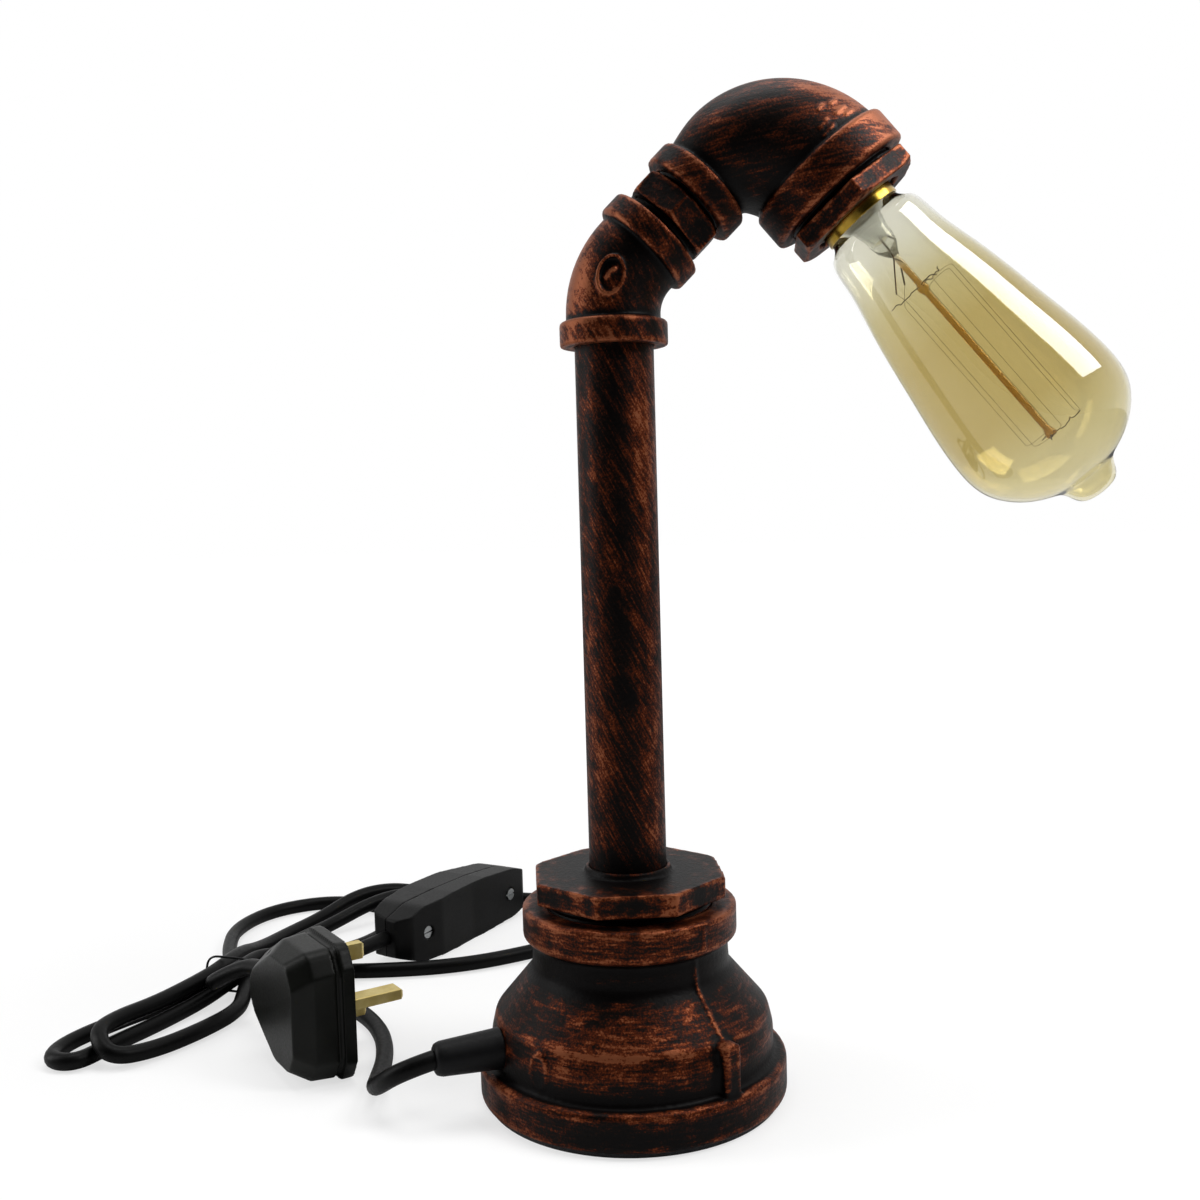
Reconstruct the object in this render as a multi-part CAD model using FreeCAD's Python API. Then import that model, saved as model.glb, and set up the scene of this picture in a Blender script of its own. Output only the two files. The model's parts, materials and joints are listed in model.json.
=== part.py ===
import FreeCAD, Part
import math
import os

V = FreeCAD.Vector
UP = V(0, 0, 1)
ORIGIN = V(0, 0, 0)

# Millimetres. Origin at the centre of the foot on the table, +Z up the pipe, arm towards +X.

# Foot: bell reducer, felt, octagon bushing.
FELT_R = 51.5
FELT_T = 1.6
FOOT_R = 53.4
FOOT_FLANGE_TOP = 14.5
FOOT_BAND_R = 48.9
FOOT_NECK_R = 33.8
FOOT_COLLAR_R = 37.1
FOOT_TOP = 67.1
FOOT_CAVITY_R = 43.5
FOOT_BORE_R = 29.05
RIB_ANGLES = (-52, 128)
RIB_W = 6.5
RIB_R = 52.2
RIB_TOP = 31.5
BUSH_THREAD_R = 29.0
BUSH_BOTTOM = 50.0
BUSH_HEAD_Z = 70.0
BUSH_TOP = 77.6
BUSH_FLATS = 64.0
BUSH_TURN = 4.4

# Pipe and the running fit of its ends in the fittings.
PIPE_R = 13.45
PIPE_BORE_R = 10.8
PIPE_BOTTOM = 62.0
PIPE_TOP = 271.0
SOCKET_R = 13.5
SOCKET_DEPTH = 14.5

# 45 degree elbow.
ELBOW_Z = 279.2
ELBOW_LEG = 22.0
ELBOW_R = 16.0
ELBOW_BAND_R = 18.3
ELBOW_BAND = 8.5
ELBOW_BEND = 28.0
ELBOW_BORE_R = 11.0
ARM_TURN = 4.0

# Hexagon nipple, distances along the arm from the elbow's centre.
NIPPLE_HEX_AT = 25.1
NIPPLE_HEX = 9.8
NIPPLE_FLATS = 29.6
NIPPLE_IN = 9.5
NIPPLE_OUT = 49.0
NIPPLE_BORE_R = 10.0

# Reducing elbow: its two axes cross at HEAD_AT along the arm and its mouth droops past square.
HEAD_AT = 77.2
HEAD_TURN = -7.0
HEAD_DROOP = 6.0
HEAD_LEG = 40.7
HEAD_MOUTH = 36.3
HEAD_R = 24.2
HEAD_SMALL_R = 16.8
HEAD_BEND = 26.0
HEAD_SWELL = 2.5
HEAD_STATIONS = 9
HEAD_BAND_R = 26.3
HEAD_BAND = 12.5
HEAD_BORE_R = 19.3
HEAD_SMALL_BORE_R = 12.0
HEAD_SOCKET_R = 20.6
HEAD_SOCKET_AT = 17.3

# Hexagon bushing and lampholder, distances along the head's axis from its centre.
HEX_FLATS = 43.7
HEX_AT = 38.2
HEX_END = 45.0
HEX_TURN = 6.0
HEX_THREAD_R = 20.55
HEX_THREAD_AT = 22.0
SLEEVE_R = 16.5
SLEEVE_BORE_R = 15.0
SLEEVE_AT = 20.0
SLEEVE_END = 43.5
INSERT_AT = 15.0
SHELL_R = 14.6
SHELL_BORE_R = 13.5
SHELL_AT = 25.0
SHELL_END = 40.0
LEAF_TOP = 22.3

# Bulb, ST64 shape with an E27 cap, distances along the head's axis.
CAP_THREAD_R = 13.15
CAP_SKIRT_R = 14.0
CAP_AT = 26.0
CAP_SKIRT_AT = 41.5
CAP_END = 48.0
CONTACT_AT = 22.5
CONTACT_END = 24.0
GLASS_AT = 44.0
GLASS_WALL = 0.8
GLASS_POLES = (
    (13.1, 47.6),
    (13.6, 50.4),
    (18.4, 50.9),
    (18.3, 63.0),
    (23.0, 80.0),
    (26.7, 104.0),
    (29.6, 120.0),
    (31.1, 136.5),
    (29.1, 146.7),
    (20.8, 155.7),
    (9.1, 161.0),
)
GLASS_END = 161.0
PIP_END = 168.2
STEM_AT = 45.0
STEM_TUBE_END = 57.0
PRESS_END = 64.0
STEM_R = 4.6
ROD_R = 1.2
ROD_END = 144.0
CAGE_R = 12.4
CAGE_LOW = 78.0
CAGE_HIGH = 142.5
CAGE_STRANDS = 6
CAGE_TURN = 217.3
FILAMENT_R = 0.2
FILAMENT_TURN = 1.2
WIRE_R = 0.35
KNEE_R = 3.0

# Cord gland, at an angle round the foot.
GLAND_ANGLE = 202.0
GLAND_Z = 22.5
GLAND_ROOT = 48.4
GLAND_TIP = 71.1
GLAND_ROOT_R = 7.0
GLAND_TIP_R = 4.75
GLAND_SHANK_R = 5.15
GLAND_HOLE_R = 5.2
GLAND_INNER = 37.0
NUT_FLATS = 14.0
NUT_AT = 37.8
NUT_T = 4.0

# Cord and leads.
CORD_D = 6.5
LEAD_D = 4.4
ARC_SHARE = 0.45

# Corners of the cord's way over the table, from the gland to the switch.
LAMP_CORD_ROUTE = (
    (-65.9, -26.6, 22.5),
    (-76.5, -30.9, 20.6),
    (-87, -20.5, 11),
    (-90.5, -2, 3.6),
    (-91, 20, 3.3),
    (-96, 43, 3.3),
    (-107, 64, 3.3),
    (-122, 79, 3.3),
    (-138, 87, 3.8),
    (-153, 90, 4.8),
    (-157.5, 96, 5),
    (-155, 103.5, 5),
    (-144, 106, 5),
    (-131, 105.5, 10.5),
    (-117, 113.5, 13.5),
    (-109.2, 126.8, 13.5),
)

# From the switch round the bundle to the plug: six times through the tie.
PLUG_CORD_ROUTE = (
    (-61.6, 207.7, 13.5),
    (-56, 217.2, 13.2),
    (-64, 226.5, 11),
    (-81, 229, 7),
    (-103, 224, 4.5),
    (-121, 216, 10.4),
    (-138, 205, 10.4),
    (-153, 188, 4),
    (-164, 167, 3.3),
    (-171, 143, 4.5),
    (-173.5, 120, 10.6),
    (-176, 96.5, 11.2),
    (-182, 82, 10.4),
    (-191, 62, 10),
    (-200, 46, 10.8),
    (-203, 32, 11),
    (-194, 22, 5),
    (-181, 33, 3.3),
    (-168, 52, 3.3),
    (-160, 71, 3.3),
    (-162, 86, 4.6),
    (-164.5, 99, 5),
    (-161, 110, 3.6),
    (-150, 116, 3.3),
    (-116, 113, 3.3),
    (-76, 117, 3.3),
    (-42, 135, 3.3),
    (-15, 158, 3.3),
    (-14, 187, 3.3),
    (-31, 208, 3.3),
    (-58, 217, 3.3),
    (-86, 216, 3.3),
    (-110, 208, 10.4),
    (-127, 194, 10.4),
    (-146, 177, 3.8),
    (-159, 153, 3.3),
    (-167, 126, 3.6),
    (-171, 100, 5.6),
    (-178, 82, 3.6),
    (-189, 58, 3.3),
    (-200, 38, 3.3),
    (-207, 22, 3.3),
    (-219, 26, 3.3),
    (-218, 42, 3.3),
    (-206, 62, 3.3),
    (-190, 82, 3.6),
    (-178.5, 102, 5.6),
    (-178.5, 124, 3.6),
    (-187, 148, 3.3),
    (-192, 176, 3.3),
    (-182, 204, 3.3),
    (-158, 218, 3.3),
    (-134, 213, 3.3),
    (-117, 197, 3.3),
    (-114, 172, 3.3),
    (-125, 146, 3.3),
    (-144, 127, 5),
    (-162, 117, 11),
    (-167, 99, 11.2),
    (-172.5, 85, 11),
    (-172, 74.5, 13.5),
    (-162, 70.5, 19.5),
    (-149, 63.4, 25),
    (-140.4, 50.4, 25),
)

# Wire tie round the bundle, in the plane across it.
TIE_AT = V(-171, 100, 0)
TIE_ACROSS = V(0.954, -0.301, 0)
TIE_D = 1.1

# Inline switch: its axis starts at the cord's entry, rocker side to the left.
SWITCH_AT = V(-109.2, 126.8, 13.5)
SWITCH_ALONG = V(0.507, 0.862, 0)
SWITCH_L = 95.6
SWITCH_MOUTH = 93.9
SWITCH_HALF_W = 13.5
SWITCH_WALL = 2.5
ROCKER_AT = 45.0
ROCKER_PIVOT = 12.8
ROCKER_R = 9.2
ROCKER_HALF_W = 5.3
ROCKER_TOP = 20.4
ROCKER_TILT = 20.0
ROCKER_PIN_R = 1.45
SCREW_AT = (15.0, 80.0)
SCREW_R = 1.45
SCREW_HEAD_R = 2.8

# Plug, on its side: pins along PLUG_PINS, cord along PLUG_ALONG.
PLUG_AT = V(-123.5, 25, 25)
PLUG_PINS = V(0.833, 0.553, 0)
PLUG_BACK = -11.0
PLUG_SPLIT = 4.5
PLUG_FACE = 11.0
PLUG_OUTLINE = (
    (-29, -17, 3),
    (-24, -25, 6),
    (3, -25, 10),
    (24, -14, 6),
    (28, -9, 2),
    (28, 9, 2),
    (24, 14, 6),
    (3, 25, 10),
    (-24, 25, 6),
    (-29, 17, 3),
)
PLUG_END = 28.0
COLLAR_R = 5.25
COLLAR_BORE_R = 3.9
COLLAR_BOTTOM = 30.5
COLLAR_END = 36.5
PIN_ROW = 6.6
PIN_SPREAD = 11.1
PIN_W = 6.35
PIN_T = 3.97
PIN_L = 17.7
PIN_CORE_W = 5.2
PIN_CORE_T = 2.8
SLEEVED = 9.5
EARTH_ROW = -15.6
EARTH_W = 7.92
EARTH_L = 22.7
PIN_CHAMFER = 1.0
FUSE_ROW = -4.0
FUSE_AT = 5.0
FUSE_R = 3.15
FUSE_L = 25.4
DRAWER_W = 8.0
DRAWER_L = 31.0
DRAWER_BACK = 0.5
DRAWER_PLAY = 0.2


def corner_arc(before, corner, after, radius):
    """Start, middle and end of the tangent arc that rounds a corner."""
    way_in = (corner - before).normalize()
    way_out = (after - corner).normalize()
    half_turn = way_in.getAngle(way_out) / 2
    cut = radius * math.tan(half_turn)
    inward = (way_out - way_in).normalize()
    middle = corner + inward * (radius / math.cos(half_turn) - radius)
    return corner - way_in * cut, middle, corner + way_out * cut


def rounded_wire(points, radii, closed):
    """Straight runs through the points, each corner rounded by its radius."""
    count = len(points)
    stops = []
    for i in range(count):
        inside = closed or 0 < i < count - 1
        if inside and radii[i]:
            stops.append(corner_arc(points[i - 1], points[i], points[(i + 1) % count], radii[i]))
        else:
            stops.append((points[i], None, points[i]))
    edges = []
    for i in range(count):
        start, middle, end = stops[i]
        if middle:
            edges.append(Part.Arc(start, middle, end).toShape())
        if closed or i < count - 1:
            following = stops[(i + 1) % count][0]
            if end.distanceToPoint(following) > 1e-6:
                edges.append(Part.LineSegment(end, following).toShape())
    return Part.Wire(edges)


def outline(corners, to_point):
    """Closed wire from corners (a, b) or (a, b, corner radius)."""
    points = [to_point(c[0], c[1]) for c in corners]
    radii = [c[2] if len(c) > 2 else 0 for c in corners]
    return rounded_wire(points, radii, True)


def turned(profile):
    """Solid turned about Z from a closed profile of (radius, z) corners."""
    face = Part.Face(outline(profile, lambda r, z: V(r, 0, z)))
    return face.revolve(ORIGIN, UP, 360)


def prism(corners, low, high):
    """Solid on an outline in X and Y, from z low to z high."""
    face = Part.Face(outline(corners, lambda x, y: V(x, y, low)))
    return face.extrude(V(0, 0, high - low))


def rod(radius, low, high):
    """Cylinder about Z from z low to z high."""
    return Part.makeCylinder(radius, high - low, V(0, 0, low))


def block(x, y, z):
    """Box between pairs of limits."""
    return Part.makeBox(x[1] - x[0], y[1] - y[0], z[1] - z[0], V(x[0], y[0], z[0]))


def polygon(sides, across_flats, low, high, turn):
    """Regular prism about Z, one corner at turn degrees from +X."""
    reach = across_flats / 2 / math.cos(math.pi / sides)
    angles = [math.radians(turn + 360 * k / sides) for k in range(sides)]
    return prism([(reach * math.cos(a), reach * math.sin(a)) for a in angles], low, high)


def placed(shape, at, x_axis, z_axis):
    """The shape with its own X and Z turned to the given axes and its origin at a point."""
    turn = FreeCAD.Rotation(x_axis, z_axis.cross(x_axis), z_axis, "ZXY")
    shape.Placement = FreeCAD.Placement(at, turn).multiply(shape.Placement)
    return shape


def united(shapes):
    """One solid from shapes that overlap or share faces."""
    return shapes[0].multiFuse(shapes[1:]).removeSplitter()


def bend_radii(points):
    """Arc radius at each corner, from the shorter run beside it."""
    radii = [0]
    for before, corner, after in zip(points, points[1:], points[2:]):
        shorter = min(corner.distanceToPoint(before), after.distanceToPoint(corner))
        turn = (corner - before).getAngle(after - corner)
        radii.append(ARC_SHARE * shorter / math.tan(turn / 2))
    return radii + [0]


def swept(path, diameter):
    """Round wire along a path of straight runs and arcs."""
    first = path.OrderedEdges[0]
    start = first.FirstParameter
    circle = Part.Circle(first.valueAt(start), first.tangentAt(start), diameter / 2)
    return path.makePipeShell([Part.Wire(circle.toShape())], True, False)


def tube(route, diameter):
    """Round cord along straight runs joined by tangent arcs, and its length."""
    points = [V(*p) for p in route]
    path = rounded_wire(points, bend_radii(points), False)
    return swept(path, diameter), path.Length


def cord(name, route):
    """A stretch of cord; prints its bends and compares its volume with section times length."""
    solid, length = tube(route, CORD_D)
    radii = bend_radii([V(*p) for p in route])[1:-1]
    section = math.pi * CORD_D**2 / 4
    print(name, "length", round(length, 1), "volume share", round(solid.Volume / section / length, 4))
    print(name, "bend radii", [round(r, 1) for r in radii])
    return solid


def round_gland(radial):
    """Point on the gland's axis at a distance from the centre of the foot."""
    angle = math.radians(GLAND_ANGLE)
    return V(radial * math.cos(angle), radial * math.sin(angle), GLAND_Z)


def on_gland(shape):
    """Shape drawn along Z, with z as the distance from the foot's centre, laid on the gland's axis."""
    return placed(shape, round_gland(0), UP, round_gland(1) - round_gland(0))


ARM_OUT = V(math.cos(math.radians(ARM_TURN)), math.sin(math.radians(ARM_TURN)), 0)
ARM_AXIS = (ARM_OUT + UP).normalize()
HEAD_SIDE = UP.cross(ARM_OUT)
HEAD_STRAIGHT = (ARM_OUT - UP).normalize()
HEAD_ANGLE = math.radians(HEAD_TURN)
DROOP = math.radians(HEAD_DROOP)
HEAD_SQUARE = HEAD_STRAIGHT * math.cos(HEAD_ANGLE) + HEAD_SIDE * math.sin(HEAD_ANGLE)
HEAD_AXIS = HEAD_SQUARE * math.cos(DROOP) - ARM_AXIS * math.sin(DROOP)
HEAD_OUT = HEAD_SQUARE * math.sin(DROOP) + ARM_AXIS * math.cos(DROOP)
ELBOW_AT = V(0, 0, ELBOW_Z)
HEAD_CENTRE = ELBOW_AT + ARM_AXIS * HEAD_AT
PLUG_ALONG = UP.cross(PLUG_PINS)


def on_arm(shape):
    """Shape drawn with Z along the arm and its origin at the elbow's centre."""
    return placed(shape, ELBOW_AT, HEAD_SIDE, ARM_AXIS)


def on_head(shape):
    """Shape drawn with Z along the bulb, X away from the arm and its origin at the head's centre."""
    return placed(shape, HEAD_CENTRE, HEAD_OUT, HEAD_AXIS)


def on_switch(shape):
    """Shape drawn with X along the switch and Y to its rocker."""
    return placed(shape, SWITCH_AT, SWITCH_ALONG, UP)


def on_plug(shape):
    """Shape drawn with X along the pins and Y to the cord."""
    return placed(shape, PLUG_AT, PLUG_PINS, UP)


def across(shape):
    """Shape drawn about Z, turned so that Z points along X."""
    return placed(shape, ORIGIN, UP, V(1, 0, 0))


def felt_pad():
    return rod(FELT_R, 0, FELT_T)


def rib(angle):
    """Wrench rib of the reducer, on the band above the flange."""
    half = RIB_W / 2
    low = FOOT_FLANGE_TOP - 1
    face = ((-half, low), (half, low), (half, RIB_TOP, 2.2), (-half, RIB_TOP, 2.2))
    bar = prism(face, FOOT_CAVITY_R + 1.5, RIB_R)
    out = V(math.cos(math.radians(angle)), math.sin(math.radians(angle)), 0)
    return placed(bar, ORIGIN, UP.cross(out), out)


def base_reducer():
    body = turned(
        (
            (FOOT_CAVITY_R, FELT_T),
            (FOOT_R, FELT_T, 1.5),
            (FOOT_R, FOOT_FLANGE_TOP, 2),
            (49.4, FOOT_FLANGE_TOP, 0.8),
            (FOOT_BAND_R, 16),
            (FOOT_BAND_R, 24, 8),
            (47.4, 30.3, 3),
            (34.2, 45.8, 5),
            (FOOT_NECK_R, 54.8, 1.2),
            (FOOT_COLLAR_R, 56.6, 1),
            (FOOT_COLLAR_R, FOOT_TOP, 1.3),
            (FOOT_BORE_R, FOOT_TOP),
            (FOOT_BORE_R, 46.5),
            (33, 41, 2),
            (FOOT_CAVITY_R, 28, 3),
        )
    )
    body = united([body] + [rib(a) for a in RIB_ANGLES])
    return body.cut(on_gland(rod(GLAND_HOLE_R, 30, 60)))


def base_bushing():
    head = polygon(8, BUSH_FLATS, BUSH_HEAD_Z, BUSH_TOP, 22.5 + BUSH_TURN)
    rounding = ((0, BUSH_HEAD_Z), (36, BUSH_HEAD_Z), (36, 76.7), (33.4, BUSH_TOP), (0, BUSH_TOP))
    head = head.common(turned(rounding))
    flare = turned(((0, BUSH_TOP - 1), (15.4, BUSH_TOP - 1), (15.4, BUSH_TOP), (14.5, 80), (0, 80)))
    male = rod(BUSH_THREAD_R, BUSH_BOTTOM, BUSH_HEAD_Z)
    body = united([male, head, flare])
    return body.cut(rod(SOCKET_R, PIPE_BOTTOM, 90)).cut(rod(ELBOW_BORE_R, 40, PIPE_BOTTOM))


def stem_pipe():
    return rod(PIPE_R, PIPE_BOTTOM, PIPE_TOP).cut(rod(PIPE_BORE_R, PIPE_BOTTOM, PIPE_TOP))


def cord_gland():
    return on_gland(
        turned(
            (
                (0, GLAND_INNER),
                (GLAND_SHANK_R, GLAND_INNER),
                (GLAND_SHANK_R, GLAND_ROOT),
                (GLAND_ROOT_R, GLAND_ROOT, 0.6),
                (GLAND_ROOT_R, GLAND_ROOT + 4),
                (GLAND_TIP_R, GLAND_TIP, 0.8),
                (0, GLAND_TIP),
            )
        )
    )


def gland_nut():
    nut = polygon(6, NUT_FLATS, NUT_AT, NUT_AT + NUT_T, 30)
    return on_gland(nut.cut(rod(GLAND_HOLE_R, NUT_AT, NUT_AT + NUT_T)))


def inside_foot(shape):
    """Shape drawn with X towards the gland and Z up."""
    return placed(shape, ORIGIN, round_gland(1) - round_gland(0), UP)


def terminal_block():
    body = block((-26, -4), (-8, 8), (FELT_T, 13))
    for y in (-3.8, 3.8):
        body = body.cut(Part.makeCylinder(1.8, 10, V(-15, y, 6)))
    return inside_foot(body)


def terminal_screws():
    screws = [Part.makeCylinder(1.7, 6, V(-15, y, 6)) for y in (-3.8, 3.8)]
    return inside_foot(Part.Compound(screws))


def cord_tail():
    route = ((GLAND_INNER, 0, GLAND_Z), (28, 0, 21.5), (20, -3, 13), (8, -3.8, 6.5), (-4, -3.8, 6.5))
    return inside_foot(tube(route, CORD_D)[0])


def earth_tag():
    tag = block((-9, -8), (30, 42), (20, 28))
    return inside_foot(tag.cut(Part.makeCylinder(2.1, 3, V(-10, 36, 24), V(1, 0, 0))))


def earth_screw():
    head = Part.makeCylinder(3.6, 2.2, V(-8, 36, 24), V(1, 0, 0))
    shank = Part.makeCylinder(2.05, 6, V(-14, 36, 24), V(1, 0, 0))
    return inside_foot(united([head, shank]))


def earth_nut():
    nut = polygon(6, 7, -12.2, -9, 0)
    nut = nut.cut(rod(2.1, -12.2, -9))
    return inside_foot(placed(nut, V(0, 36, 24), UP, V(1, 0, 0)))


def lead_stem():
    low = ((-4, 4, 7), (6, 4, 7.5), (8, 2.5, 20), (1.5, 0.6, 32))
    route = low + ((0, 0, 45), (0.4, 0, 150), (0, 0, 262), (0, 0, 268))
    return inside_foot(tube(route, LEAD_D)[0])


def elbow_45():
    cut = ELBOW_BEND * math.tan(math.radians(22.5))
    centre = V(ELBOW_BEND, 0, -cut)

    def bent(radius):
        """Straight leg, 45 degree torus and second leg of one radius, bend centre at the origin."""
        leg = rod(radius, -ELBOW_LEG, -cut)
        circle = Part.Face(Part.Wire(Part.Circle(V(0, 0, -cut), UP, radius).toShape()))
        turn = circle.revolve(centre, V(0, 1, 0), 45)
        far = rod(radius, cut, ELBOW_LEG)
        return united([leg, turn, placed(far, ORIGIN, V(0, 1, 0), V(1, 0, 1).normalize())])

    def both_ends(make):
        """One shape made at the lower mouth and again at the upper one."""
        return [make(), placed(make().mirror(ORIGIN, UP), ORIGIN, V(0, 1, 0), V(1, 0, 1).normalize())]

    def band():
        low = -ELBOW_LEG
        top = low + ELBOW_BAND
        reach = ELBOW_BAND_R
        return turned(((0, low), (reach, low, 0.8), (reach, top, 1.4), (ELBOW_R - 1, top), (0, top)))

    body = united([bent(ELBOW_R)] + both_ends(band))
    body = body.cut(bent(ELBOW_BORE_R))
    for socket in both_ends(lambda: rod(SOCKET_R, -ELBOW_LEG, SOCKET_DEPTH - ELBOW_LEG)):
        body = body.cut(socket)
    return placed(body, ELBOW_AT, ARM_OUT, UP)


def hex_nipple():
    end = NIPPLE_HEX_AT + NIPPLE_HEX
    middle = polygon(6, NIPPLE_FLATS, NIPPLE_HEX_AT, end, 0)
    reach = NIPPLE_FLATS / 2 / math.cos(math.pi / 6)
    low_edge = NIPPLE_FLATS / 2 + 0.6
    rounding = turned(
        (
            (0, NIPPLE_HEX_AT),
            (low_edge, NIPPLE_HEX_AT),
            (reach, NIPPLE_HEX_AT + 1.2),
            (reach, end - 1.2),
            (low_edge, end),
            (0, end),
        )
    )
    thread = turned(
        (
            (0, NIPPLE_IN),
            (PIPE_R - 1, NIPPLE_IN),
            (PIPE_R, NIPPLE_IN + 1),
            (PIPE_R, NIPPLE_OUT - 1),
            (PIPE_R - 1, NIPPLE_OUT),
            (0, NIPPLE_OUT),
        )
    )
    body = united([middle.common(rounding), thread])
    return on_arm(body.cut(rod(NIPPLE_BORE_R, NIPPLE_IN, NIPPLE_OUT)))


def lead_arm():
    """Lead in the elbow and nipple, straight where it meets the swivels."""
    far = ARM_AXIS * (NIPPLE_OUT + 0.5)
    route = [V(0, 0, -10), V(0, 0, -1), ARM_AXIS * 12, far]
    return tube([tuple(ELBOW_AT + p) for p in route], LEAD_D)[0]


def reducing_elbow():
    """Small leg back along the arm, large mouth towards +Z, a swelling bend between them."""
    to_arm = V(-math.cos(DROOP), 0, math.sin(DROOP))
    turn = math.pi / 2 + DROOP
    bend_end = HEAD_BEND * math.tan(turn / 2)
    bend_axis = V(-HEAD_BEND, 0, bend_end)

    def leg(profile):
        return placed(turned(profile), ORIGIN, V(math.sin(DROOP), 0, math.cos(DROOP)), to_arm)

    def bend(mouth_radius, small_radius):
        """Loft from the mouth to the small leg through circles about the bend's centreline."""
        rings = [Part.Circle(V(0, 0, bend_end + 3), UP, mouth_radius)]
        for step in range(HEAD_STATIONS):
            share = step / (HEAD_STATIONS - 1)
            angle = turn * share
            out = V(math.cos(angle), 0, -math.sin(angle))
            radius = mouth_radius + (small_radius - mouth_radius) * share**HEAD_SWELL
            along = V(math.sin(angle), 0, math.cos(angle))
            rings.append(Part.Circle(bend_axis + out * HEAD_BEND, along, radius))
        rings.append(Part.Circle(to_arm * (bend_end + 6), to_arm * -1, small_radius))
        return Part.makeLoft([Part.Wire(ring.toShape()) for ring in rings], True)

    small_band = leg(
        (
            (0, HEAD_LEG - ELBOW_BAND),
            (ELBOW_BAND_R, HEAD_LEG - ELBOW_BAND, 0.8),
            (ELBOW_BAND_R, HEAD_LEG, 0.8),
            (0, HEAD_LEG),
        )
    )
    band_at = HEAD_MOUTH - HEAD_BAND
    large_band = turned(
        (
            (0, band_at),
            (HEAD_BAND_R, band_at, 1.6),
            (HEAD_BAND_R, HEAD_MOUTH, 1.2),
            (0, HEAD_MOUTH),
        )
    )
    body = united([bend(HEAD_R, HEAD_SMALL_R), small_band, large_band])
    deep = HEAD_LEG - SOCKET_DEPTH
    small_socket = leg(((0, deep), (SOCKET_R, deep), (SOCKET_R, HEAD_LEG), (0, HEAD_LEG)))
    large_socket = rod(HEAD_SOCKET_R, HEAD_SOCKET_AT, HEAD_MOUTH)
    for hollow in (bend(HEAD_BORE_R, HEAD_SMALL_BORE_R), small_socket, large_socket):
        body = body.cut(hollow)
    return on_head(body)


def head_bushing():
    head = polygon(6, HEX_FLATS, HEX_AT, HEX_END, 90 + HEX_TURN)
    reach = HEX_FLATS / 2 / math.cos(math.pi / 6)
    flat = HEX_FLATS / 2
    corner = HEX_END - 1.3
    rounding = turned(((0, HEX_AT), (reach, HEX_AT), (reach, corner), (flat + 0.8, HEX_END), (0, HEX_END)))
    male = rod(HEX_THREAD_R, HEX_THREAD_AT, HEX_AT)
    body = united([head.common(rounding), male])
    return on_head(body.cut(rod(SLEEVE_R + 0.05, HEX_THREAD_AT, HEX_END)))


def lead_head():
    to_arm = V(-math.cos(DROOP), 0, math.sin(DROOP))
    start = to_arm * (HEAD_AT - NIPPLE_OUT - 1.5)
    route = (tuple(start), tuple(to_arm * 13), (-2, 0, 2), (0, 0, 12.4))
    return on_head(tube(route, LEAD_D)[0])


def holder_sleeve():
    return on_head(
        turned(
            (
                (SLEEVE_BORE_R, SLEEVE_AT),
                (SLEEVE_R, SLEEVE_AT),
                (SLEEVE_R, SLEEVE_END, 0.5),
                (SLEEVE_BORE_R, SLEEVE_END, 0.5),
            )
        )
    )


def holder_insert():
    body = turned(
        (
            (0, INSERT_AT),
            (16.3, INSERT_AT),
            (16.3, SLEEVE_AT),
            (SHELL_R, SLEEVE_AT),
            (SHELL_R, SHELL_AT),
            (11, SHELL_AT),
            (11, SLEEVE_AT),
            (0, SLEEVE_AT),
        )
    )
    return on_head(body)


def holder_shell():
    return on_head(rod(SHELL_R, SHELL_AT, SHELL_END).cut(rod(SHELL_BORE_R, SHELL_AT, SHELL_END)))


def holder_contact():
    """Leaf spring that meets the bulb's contact."""
    face = ((-7, 20), (7, 20), (7, 20.6), (2.5, LEAF_TOP), (-2.5, LEAF_TOP), (-7, 20.6))
    leaf = Part.Face(outline(face, lambda x, z: V(x, -2.5, z))).extrude(V(0, 5, 0))
    return on_head(leaf)


def holder_screws():
    """Two slotted terminal screws on the back of the insert."""
    screws = []
    for y in (-9, 9):
        head = Part.makeCylinder(2.9, 2.4, V(0, y, INSERT_AT - 2.4))
        screws.append(head.cut(block((-3, 3), (y - 0.4, y + 0.4), (INSERT_AT - 2.4, INSERT_AT - 1.4))))
    return on_head(Part.Compound(screws))


def bulb_contact():
    return on_head(turned(((0, CONTACT_AT), (3.2, CONTACT_AT), (4.6, CONTACT_END), (0, CONTACT_END))))


def bulb_insulator():
    return on_head(turned(((0, CONTACT_END), (4.6, CONTACT_END), (12.9, CAP_AT), (0, CAP_AT))))


def bulb_cap():
    wall = 0.8
    bore = CAP_THREAD_R - wall
    return on_head(
        turned(
            (
                (bore, CAP_AT),
                (CAP_THREAD_R, CAP_AT, 0.5),
                (CAP_THREAD_R, CAP_SKIRT_AT),
                (CAP_SKIRT_R, CAP_SKIRT_AT + 1),
                (CAP_SKIRT_R, CAP_END),
                (CAP_SKIRT_R - wall, CAP_END),
                (CAP_SKIRT_R - wall, CAP_SKIRT_AT + 1.4),
                (bore, CAP_SKIRT_AT),
            )
        )
    )


def glass_edge(inset):
    """Profile edges of the envelope from its neck to its axis, moved inwards by inset."""
    end = V(0, 0, GLASS_END - inset)
    poles = [V(r - inset, 0, z - inset * z / GLASS_END) for r, z in GLASS_POLES] + [end]
    curve = Part.BSplineCurve()
    curve.buildFromPoles(poles, False, 3)
    low = V(poles[0].x, 0, GLASS_AT)
    straight = Part.LineSegment(low, poles[0]).toShape()
    return [straight, curve.toShape()], low, end


def glass_solid(inset):
    edges, low, end = glass_edge(inset)
    foot = V(0, 0, GLASS_AT)
    edges.append(Part.LineSegment(end, foot).toShape())
    edges.append(Part.LineSegment(foot, low).toShape())
    return Part.Face(Part.Wire(edges)).revolve(ORIGIN, UP, 360)


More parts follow.
